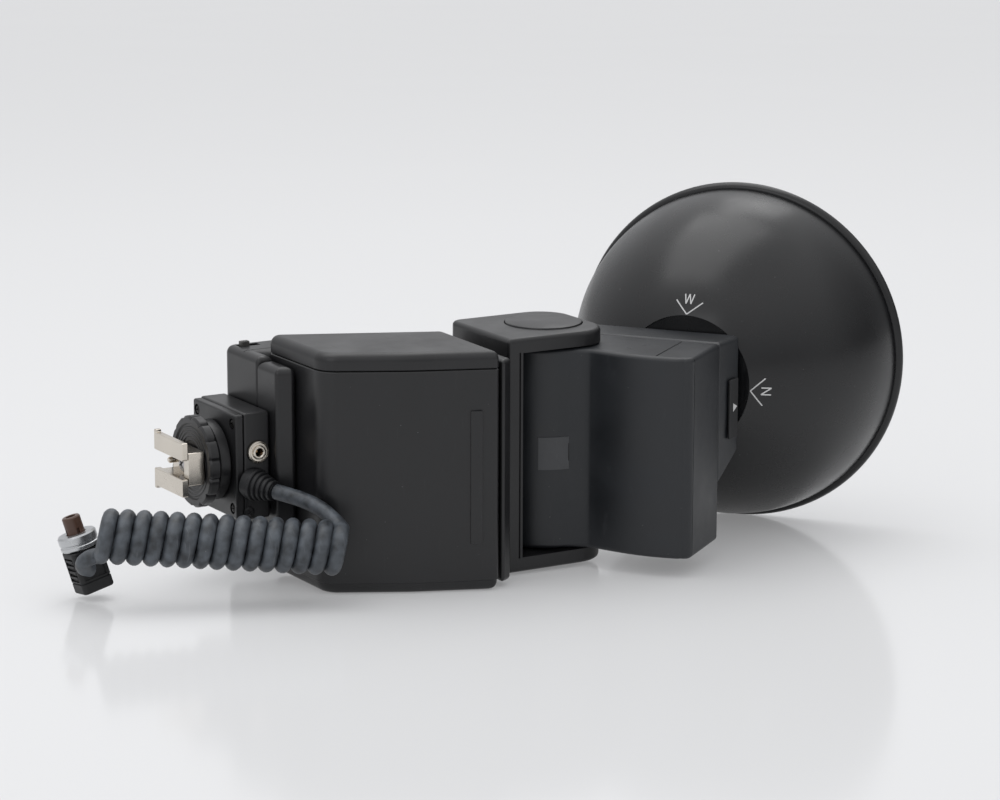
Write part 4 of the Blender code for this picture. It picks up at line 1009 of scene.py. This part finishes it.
def swivel():
    look = CASE_BLACK
    half_z = MID_Z - 1.6 * MM
    left = 1.9 * MM
    corners = [(left + 0.3 * MM, 3.0 * MM, 1.0 * MM), mm(7.2, 6.0, 1.6), mm(7.2, 56.0, 3.0)]
    corners += [mm(3.4, 58.0, 0.0), mm(3.4, 41.0, 0.0)]
    end = prism("end_cover", corners, MID_Z - half_z, MID_Z + half_z - 2.4 * MM, look, 1.6 * MM, 1.6 * MM)
    bore = moved(disc("bore", 7.0 * MM, -9.0 * MM, 2.0 * MM, look), REST.inverted() @ SWIVEL)
    carve(end, bore)
    put(end, REST, "body", ["body_end_shell"])
    profile = [(7.2 * MM, FIT_GAP), (16.6 * MM, FIT_GAP), mm(17.0, 0.7), mm(17.0, 2.2), mm(16.4, 2.4)]
    profile += [mm(16.4, 2.9), mm(17.0, 3.1), mm(17.0, 4.4), mm(16.6, 4.8), mm(7.2, 4.8)]
    put(
        turned("turntable_disc", profile, MATT_BLACK, 96), SWIVEL, "body", ["swivel_turntable"],
    )


def yoke():
    look = CASE_BLACK
    left = YOKE_LEFT - PIVOT_X
    near = -ARM_RADIUS
    far = ARM_RADIUS * 0.98
    outline = [
        (left, near, 1.2 * MM), (ARM_END, near, 12.0 * MM), (ARM_END, far, 12.0 * MM),
        (left, far, 4.0 * MM),
    ]
    casting = prism("yoke_frame", outline, -YOKE_HALF_Z, YOKE_HALF_Z, look, 1.6 * MM, 1.6 * MM, 6)
    inner = YOKE_HALF_Z - ARM_THICKNESS
    inside = -DRUM_RADIUS - 0.9 * MM
    gap = [(inside, -40 * MM, 0.0), mm(30, -40, 0.0), mm(30, 40, 0.0), (inside, 40 * MM, 0.0)]
    cutters = [
        prism("gap", rounded(gap), -inner, inner, look), disc("bore", PIN_BORE, -THROUGH, THROUGH, look),
    ]
    seat_low = YOKE_HALF_Z - CAP_SINK
    cutters.append(disc("seat", CAP_RADIUS + FIT_GAP, seat_low, THROUGH, look, 96, 0.1 * MM))
    cutters.append(disc("seat", CAP_RADIUS + FIT_GAP, -THROUGH, -seat_low, look, 96, 0.1 * MM))
    root = shift(YOKE_LEFT - PIVOT_X) @ turn(y=math.pi / 2)
    cutters.append(moved(disc("bore", 6.6 * MM, -2.0 * MM, 12.0 * MM, look), root))
    groove = block(
        "groove", (inside - 1.6 * MM, near - 2 * MM, -inner - 0.2 * MM),
        (inside - 0.9 * MM, near + 0.5 * MM, inner + 0.2 * MM), look,
    )
    carve(casting, *cutters, groove)
    put(casting, PIVOT, "yoke_body", ["yoke"])
    for side, place in ((1, "upper"), (-1, "lower")):
        seat = YOKE_HALF_Z - CAP_SINK + FIT_GAP
        top = YOKE_HALF_Z + 0.6 * MM
        profile = [
            (0.0, seat), (CAP_RADIUS - 0.2 * MM, seat), (CAP_RADIUS, seat + 0.2 * MM),
            (CAP_RADIUS, top - 0.6 * MM),
        ]
        profile += [
            (CAP_RADIUS - 0.15 * MM, top - 0.2 * MM), (CAP_RADIUS - 0.6 * MM, top), (0.0, top - 0.15 * MM),
        ]
        mirror = turn(x=0.0 if side > 0 else math.pi)
        put(
            turned(f"{place}_cap", profile, look, 96), PIVOT @ mirror, "yoke_body", [f"{place}_pivot_cap"],
        )


# ---------------------------------------------------------------- lamp head


def head_outline():
    rear_corner = (HEAD_REAR_A, -HEAD_TOP_B)
    valley = Vector(mm(-10.9, -22.0))
    outline = arc_points((0.0, 0.0), DRUM_RADIUS, math.radians(60), math.radians(222), 44)
    start = Vector(outline[-1])
    bend = start + Vector((0.669, -0.743)) * 5.6 * MM
    for index in range(1, 9):
        share = index / 8
        outline.append(tuple(start.lerp(bend, share).lerp(bend.lerp(valley, share), share)))
    direction = Vector(rear_corner) - valley
    outward = Vector((direction.y, -direction.x)).normalized()
    steps = 24
    for index in range(2, steps):
        share = index / steps * 0.93
        crown = 2.6 * MM * math.sin(math.pi * share ** 1.1)
        outline.append(tuple(valley + direction * share + outward * crown))
    outline += arc_points(
        (HEAD_REAR_A + 3.0 * MM, -HEAD_TOP_B + 3.0 * MM), 3.0 * MM, math.pi, math.pi * 1.5, 10,
    )
    outline += [(HEAD_SPLIT_A, -HEAD_TOP_B), (HEAD_SPLIT_A, DRUM_RADIUS * math.sin(math.radians(60)))]
    return outline


def head_shells():
    look = LOOKS["head_plastic"]
    rear = prism("head_rear_case", head_outline(), -HEAD_HALF_Z, HEAD_HALF_Z, look, 1.6 * MM, 1.6 * MM, 5)
    inner = HEAD_HALF_Z - 3.0 * MM
    well = [
        mm(-12.0, -52.0, 2.0),
        (HEAD_SPLIT_A + 4 * MM, -52.0 * MM, 0.0),
        (HEAD_SPLIT_A + 4 * MM, 6.0 * MM, 0.0),
        mm(-6.0, 6.0, 2.0),
    ]
    bore = disc("bore", PIN_BORE, -THROUGH, THROUGH, look)
    slit = block(
        "slit", (-13.0 * MM, -46.2 * MM, HEAD_HALF_Z - 0.35 * MM),
        (HEAD_SPLIT_A + 2 * MM, -45.8 * MM, 60 * MM), look,
    )
    seam = block(
        "seam", (-10.2 * MM, -60 * MM, -HEAD_HALF_Z - 1 * MM),
        (-9.85 * MM, -HEAD_TOP_B + 0.4 * MM, HEAD_HALF_Z + 1 * MM), look,
    )
    carve(rear, prism("well", rounded(well), -inner, inner, look), bore, slit, seam)
    put(rear, HEAD, "head", ["head_rear_shell"])
    front_low = HEAD_SPLIT_A + FIT_GAP
    corners = [(front_low, 16.0 * MM, 1.0 * MM), (front_low, -HEAD_TOP_B, 0.5 * MM)]
    corners += [(HEAD_FRONT_A, -HEAD_TOP_B - 2.5 * MM, 3.0 * MM), (HEAD_FRONT_A, 10.0 * MM, 4.0 * MM)]
    front = prism("head_front_case", corners, -HEAD_HALF_Z, HEAD_HALF_Z, look, 1.6 * MM, 1.6 * MM, 5)
    hollow = [
        (front_low - 4 * MM, -52.0 * MM, 0.0),
        (HEAD_FRONT_A - 3.0 * MM, -52.0 * MM, 0.0),
        (HEAD_FRONT_A - 3.0 * MM, 4.0 * MM, 0.0),
        (front_low - 4 * MM, 4.0 * MM, 0.0),
    ]
    lamp_bore = moved(disc("bore", 11.0 * MM, -8 * MM, 4 * MM, look), HEAD.inverted() @ REFLECTOR)
    carve(front, prism("well", rounded(hollow), -inner, inner, look), corner_step(look), lamp_bore)
    put(front, HEAD, "head", ["head_front_shell"])


def corner_step(look):
    """The front shell is narrower than the rear one below the lamp: a sloping step takes its corner off."""
    low = -HEAD_HALF_Z - 5 * MM
    step_a = HEAD_SPLIT_A - 2 * MM
    outline = [(step_a, low), (60 * MM, low), mm(60, -3.5), (HEAD_FRONT_A, -3.5 * MM)]
    outline += [(step_a + 2.5 * MM, -14.0 * MM), (step_a, -14.0 * MM)]
    builder = bmesh.new()
    add_rings(builder, [[(x, depth, z) for x, z in outline] for depth in mm(-80, 60)])
    return new_piece("step", builder, [look])


def label_plate():
    """A plain grey plate on the drum, with one dark line on it."""
    low, high = math.radians(197), math.radians(235)
    outline = arc_points((0.0, 0.0), DRUM_RADIUS + 0.28 * MM, low, high, 16)
    outline += arc_points((0.0, 0.0), DRUM_RADIUS + 0.02 * MM, high, low, 16)
    plate = prism("drum_label_plate", outline, -6.9 * MM, 4.5 * MM, PLATE_GREY)
    put(plate, HEAD, "head", ())
    outline = arc_points((0.0, 0.0), DRUM_RADIUS + 0.36 * MM, math.radians(227.6), math.radians(228.6), 2)
    outline += arc_points((0.0, 0.0), DRUM_RADIUS + 0.30 * MM, math.radians(228.6), math.radians(227.6), 2)
    put(prism("drum_label_line", outline, -4.0 * MM, 2.2 * MM, MATT_BLACK), HEAD, "head")


def head_details():
    side = -HEAD_TOP_B - 1.6 * MM
    face = HEAD @ shift(25.5 * MM, side, 10.5 * MM) @ turn(math.pi / 2, 0.0, math.radians(-8.3))
    pane = prism(
        "index_pane", rectangle(3.2 * MM, 10.5 * MM, 0.5 * MM), FIT_GAP, 0.9 * MM, MATT_BLACK, 0.0,
        0.15 * MM, 3,
    )
    put(pane, face, "head", ["index_window"])
    half = 1.5 * MM
    arrow = prism(
        "index_arrow", [(-half, -half), (half, 0.0), (-half, half)], 0.92 * MM, 0.98 * MM, WHITE_INK,
    )
    put(arrow, face @ shift(0.9 * MM, 0.4 * MM), "head")
    label_plate()
    top = HEAD_HALF_Z + 0.01 * MM
    for index, (a, b) in enumerate((mm(-4.0, -33.0), mm(4.0, -36.0))):
        mark = ring(
            f"head_top_mark_{index + 1}", 1.1 * MM, 0.8 * MM, top, top + 0.05 * MM, PLATE_GREY, 32,
            0.02 * MM,
        )
        put(mark, HEAD @ shift(a, b), "head")


# ---------------------------------------------------------------- reflector


def bowl_radius(height):
    """The bowl is half an ellipsoid; heights run from its apex towards the rim."""
    share = 1.0 - min(1.0, max(0.0, height / BOWL_DEPTH))
    return BOWL_MOUTH * math.sqrt(max(0.0, 1.0 - share * share))


def outer_height(radius):
    return BOWL_DEPTH * (1 - math.sqrt(1 - (radius / BOWL_MOUTH) ** 2))


def reflector():
    apex = BOWL_APEX_A - HEAD_FRONT_A
    steps = 48
    outer = []
    inner = []
    start = outer_height(BOWL_START)
    for index in range(steps + 1):
        share = index / steps
        height = start + (BOWL_DEPTH - 1.8 * MM - start) * (1 - math.cos(share * math.pi / 2))
        outer.append((bowl_radius(height), apex + height))
        inner.append((bowl_radius(height) - BOWL_WALL, apex + height + BOWL_WALL * (1 - share)))
    profile = outer + list(reversed(inner))
    bowl = turned("bowl_shell", profile, LOOKS["reflector_paint"], 144, 40.0, BOWL_INSIDE, len(outer))
    put(bowl, REFLECTOR, "reflector", ["reflector_bowl"])
    bead = 2.1 * MM
    centre = RIM_RADIUS - bead
    mouth = RIM_A - HEAD_FRONT_A
    turns = [FULL_TURN * index / 24 for index in range(24)]
    roll = [(centre + bead * math.cos(a), mouth + bead * math.sin(a)) for a in turns]
    put(
        turned("rolled_rim", roll, LOOKS["reflector_paint"], 144, 80.0), REFLECTOR, "reflector",
        ["reflector_rim"],
    )
    top = apex + outer_height(COLLAR_RADIUS)
    collar = [mm(11.5, 0.6), (COLLAR_RADIUS - 1.1 * MM, 0.6 * MM), (COLLAR_RADIUS - 0.9 * MM, 0.8 * MM)]
    collar += [
        (COLLAR_RADIUS - 0.9 * MM, top + 0.2 * MM), (COLLAR_RADIUS - 1.9 * MM, top + 1.5 * MM),
        (COLLAR_RADIUS - 2.2 * MM, top + 1.6 * MM), (11.5 * MM, top + 1.6 * MM),
    ]
    put(
        turned("bayonet_collar", collar, LOOKS["reflector_paint"], 96), REFLECTOR, "reflector",
        ["reflector_collar"],
    )
    marks()


def on_bowl(across, radius, angle, lift):
    """A point on the bowl's outside: across to the right, radius out from the axis, seen from behind."""
    distance = math.hypot(across, radius)
    turn_on = math.atan2(across, radius)
    height = outer_height(distance)
    slope = math.pi / 2 - math.atan2(outer_height(distance + 0.1 * MM) - height, 0.1 * MM)
    direction = angle + turn_on
    reach = distance + lift * math.cos(slope)
    return (
        reach * math.cos(direction), reach * math.sin(direction),
        BOWL_APEX_A - HEAD_FRONT_A + height - lift * math.sin(slope),
    )


def bowl_mark(name, strokes, angle):
    """Painted strokes on the bowl: short ribbons that follow its curve."""
    builder = bmesh.new()
    low, high = mm(0.03, 0.08)
    for first, last in strokes:
        start = Vector(first)
        end = Vector(last)
        side = Vector((start.y - end.y, end.x - start.x)).normalized() * (MARK_WIDTH / 2)
        pieces = 6
        rows = []
        for index in range(pieces + 1):
            middle = start.lerp(end, index / pieces)
            corners = (
                (middle + side, low), (middle - side, low), (middle - side, high), (middle + side, high),
            )
            rows.append([on_bowl(point.x, point.y, angle, lift) for point, lift in corners])
        add_rings(builder, rows)
    put(new_piece(name, builder, [WHITE_INK]), REFLECTOR, "reflector")


def marks():
    """The wide and narrow settings: a chevron with its letter, a quarter turn apart."""
    apex = BOWL_START + 0.4 * MM
    chevron = [((0.0, apex), (-4.6 * MM, apex + 4.4 * MM)), ((0.0, apex), (5.2 * MM, apex + 4.0 * MM))]
    low = apex + 3.4 * MM
    high = low + 3.1 * MM
    wide = [((-1.7 * MM, high), (-0.9 * MM, low)), ((-0.9 * MM, low), (0.0, high))]
    wide += [((0.0, high), (0.9 * MM, low)), ((0.9 * MM, low), (1.7 * MM, high))]
    narrow = [
        ((-1.2 * MM, low), (-1.2 * MM, high)), ((-1.2 * MM, high), (1.2 * MM, low)),
        ((1.2 * MM, low), (1.2 * MM, high)),
    ]
    up = math.pi + MARK_TWIST - math.radians(3.5)
    side = -math.pi / 2 + MARK_TWIST
    bowl_mark("mark_wide_chevron", chevron, up)
    bowl_mark("mark_wide_letter", wide, up)
    bowl_mark("mark_narrow_chevron", chevron, side)
    bowl_mark("mark_narrow_letter", narrow, side)


# ---------------------------------------------------------------- cord and plug


def helix_point(turned_by):
    axis = COIL_END - COIL_START
    along = axis.normalized()
    up = (Vector((0, 0, 1)) - along * along.z).normalized()
    front = along.cross(up).normalized()
    if front.y > 0:
        front = -front
    share = turned_by / (FULL_TURN * HELIX_TURNS)
    offset = (-math.cos(turned_by) * up - math.sin(turned_by) * front) * HELIX_RADIUS
    return COIL_START + axis * share + offset


def cord_points():
    """The lead to the coil, the coil's turns and the tail to the plug, as one line in the flash's frame."""
    lead = [Vector(point) * MM for point in LEAD_ROUTE]
    whole = FULL_TURN * HELIX_TURNS
    count = round((HELIX_TURNS + 0.5) * HELIX_STEPS)
    coil = [helix_point(HELIX_ENTRY + (whole - HELIX_ENTRY) * index / count) for index in range(count + 1)]
    tail = [Vector(point) * MM for point in TAIL_ROUTE]
    return smooth_route(lead + coil[:1], 3)[:-1] + coil + smooth_route(coil[-1:] + tail, 3)[1:]


def plug():
    half_x = 5.6 * MM
    half_y = 5.2 * MM
    top = 14.8 * MM
    look = MATT_BLACK
    sleeve = bar("plug_shell", half_x, half_y, 0.0, top, look, 1.6 * MM, 0.8 * MM)
    cutters = []
    for side in (-1, 1):
        x = side * half_x
        y = side * half_y
        cutters.append(
            block(
                "panel", (x - 0.7 * MM, -half_y + 1.6 * MM, 4.6 * MM),
                (x + 0.7 * MM, half_y - 1.6 * MM, top - 2.0 * MM), look, 0.0, 0.3 * MM,
            )
        )
        cutters.append(
            block(
                "panel", (-half_x + 1.6 * MM, y - 0.7 * MM, 4.6 * MM),
                (half_x - 1.6 * MM, y + 0.7 * MM, top - 2.0 * MM), look, 0.0, 0.3 * MM,
            )
        )
    cutters.append(
        stacked(
            "waist", rectangle(half_x + 1 * MM, half_y + 1 * MM, 0.5 * MM, 2), [mm(0.0, 3.6), mm(0.0, 4.1)],
            [look],
        )
    )
    carve(cutters[-1], bar("core", half_x - 0.4 * MM, half_y - 0.4 * MM, 0.0, top, look, 1.2 * MM))
    carve(sleeve, *cutters)
    pieces = [put(sleeve, PLUG, "body", ["plug_body"])]
    for index in range(4):
        low = 5.6 * MM + index * 1.9 * MM
        ridge = block(
            f"plug_ridge_{index + 1}", (-half_x - 0.05 * MM, -half_y + 2.2 * MM, low),
            (-half_x + 0.65 * MM, half_y - 2.2 * MM, low + 0.9 * MM), look, 0.2 * MM, 0.2 * MM,
        )
        pieces.append(put(ridge, PLUG, "body"))
    low = top + FIT_GAP
    bright = [
        (3.4 * MM, low), (6.2 * MM, low), (6.6 * MM, low + 0.4 * MM), (6.6 * MM, low + 1.3 * MM),
        (6.3 * MM, low + 1.6 * MM),
    ]
    bright += [
        (6.3 * MM, low + 2.0 * MM), (6.6 * MM, low + 2.3 * MM), (6.6 * MM, low + 4.5 * MM),
        (6.2 * MM, low + 5.1 * MM), (3.4 * MM, low + 5.1 * MM),
    ]
    pieces.append(
        put(
            turned("plug_collar_ring", bright, LOOKS["plug_metal"], 64), PLUG, "body", ["plug_ring"],
        )
    )
    tip = [
        (0.0, low), (3.1 * MM, low), mm(3.1, 25.6), mm(2.8, 26.0), mm(1.7, 26.0), mm(1.6, 22.0),
        mm(0.0, 22.0),
    ]
    sleeve_tip = turned("plug_tip_sleeve", tip, LOOKS["plug_plastic"], 48)
    notches = []
    for angle in (0.0, math.pi / 2):
        notch = bar("notch", 4 * MM, 0.5 * MM, low + 5.2 * MM, low + 7.0 * MM, look)
        notches.append(moved(notch, turn(z=angle)))
        carve(notch, disc("core", 2.4 * MM, 0.0, 30 * MM, look))
    carve(sleeve_tip, *notches)
    pieces.append(put(sleeve_tip, PLUG, "body", ["plug_tip"]))
    return pieces


def cord(with_pieces):
    curve = bpy.data.curves.new("coiled_cord", "CURVE")
    curve.dimensions = "3D"
    curve.bevel_depth = CORD_RADIUS
    curve.bevel_resolution = 6
    curve.use_fill_caps = True
    points = [REST @ point for point in cord_points()]
    spline = curve.splines.new("POLY")
    spline.points.add(len(points) - 1)
    for target, point in zip(spline.points, points):
        target.co = (*point, 1.0)
    curve.materials.append(LOOKS["cord_rubber"])
    made = bpy.data.objects.new("coiled_cord", curve)
    bpy.context.scene.collection.objects.link(made)
    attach(made, "body")
    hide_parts("cord_lead", "cord_coil", "cord_tail")


# ---------------------------------------------------------------- CAD nodes that stay as they are

KEPT_NODES = {
    "cell_metal": [f"battery_cell_{index + 1}" for index in range(4)],
    "board": ["contact_plate_lower", "contact_plate_upper", "circuit_board"],
    "soft_black": ["main_capacitor", "lamp_socket"],
    "contact_metal": ["inverter_transformer", "jack_contact"],
    "steel": ["foot_post", "swivel_shaft", "upper_pivot_pin", "lower_pivot_pin"],
    "glass": ["flash_tube"],
}


def dress_kept_nodes():
    for slot_name, names in KEPT_NODES.items():
        for name in names:
            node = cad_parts[name]
            node.data.materials.clear()
            node.data.materials.append(LOOKS[slot_name])


def main():
    camera()
    stage()
    cord(plug())
    battery_housing()
    battery_lid()
    control_housing()
    control_panel()
    foot_block()
    locking_ring()
    shoe()
    sync_jack()
    strain_relief()
    swivel()
    yoke()
    head_shells()
    head_details()
    reflector()
    dress_kept_nodes()


main()
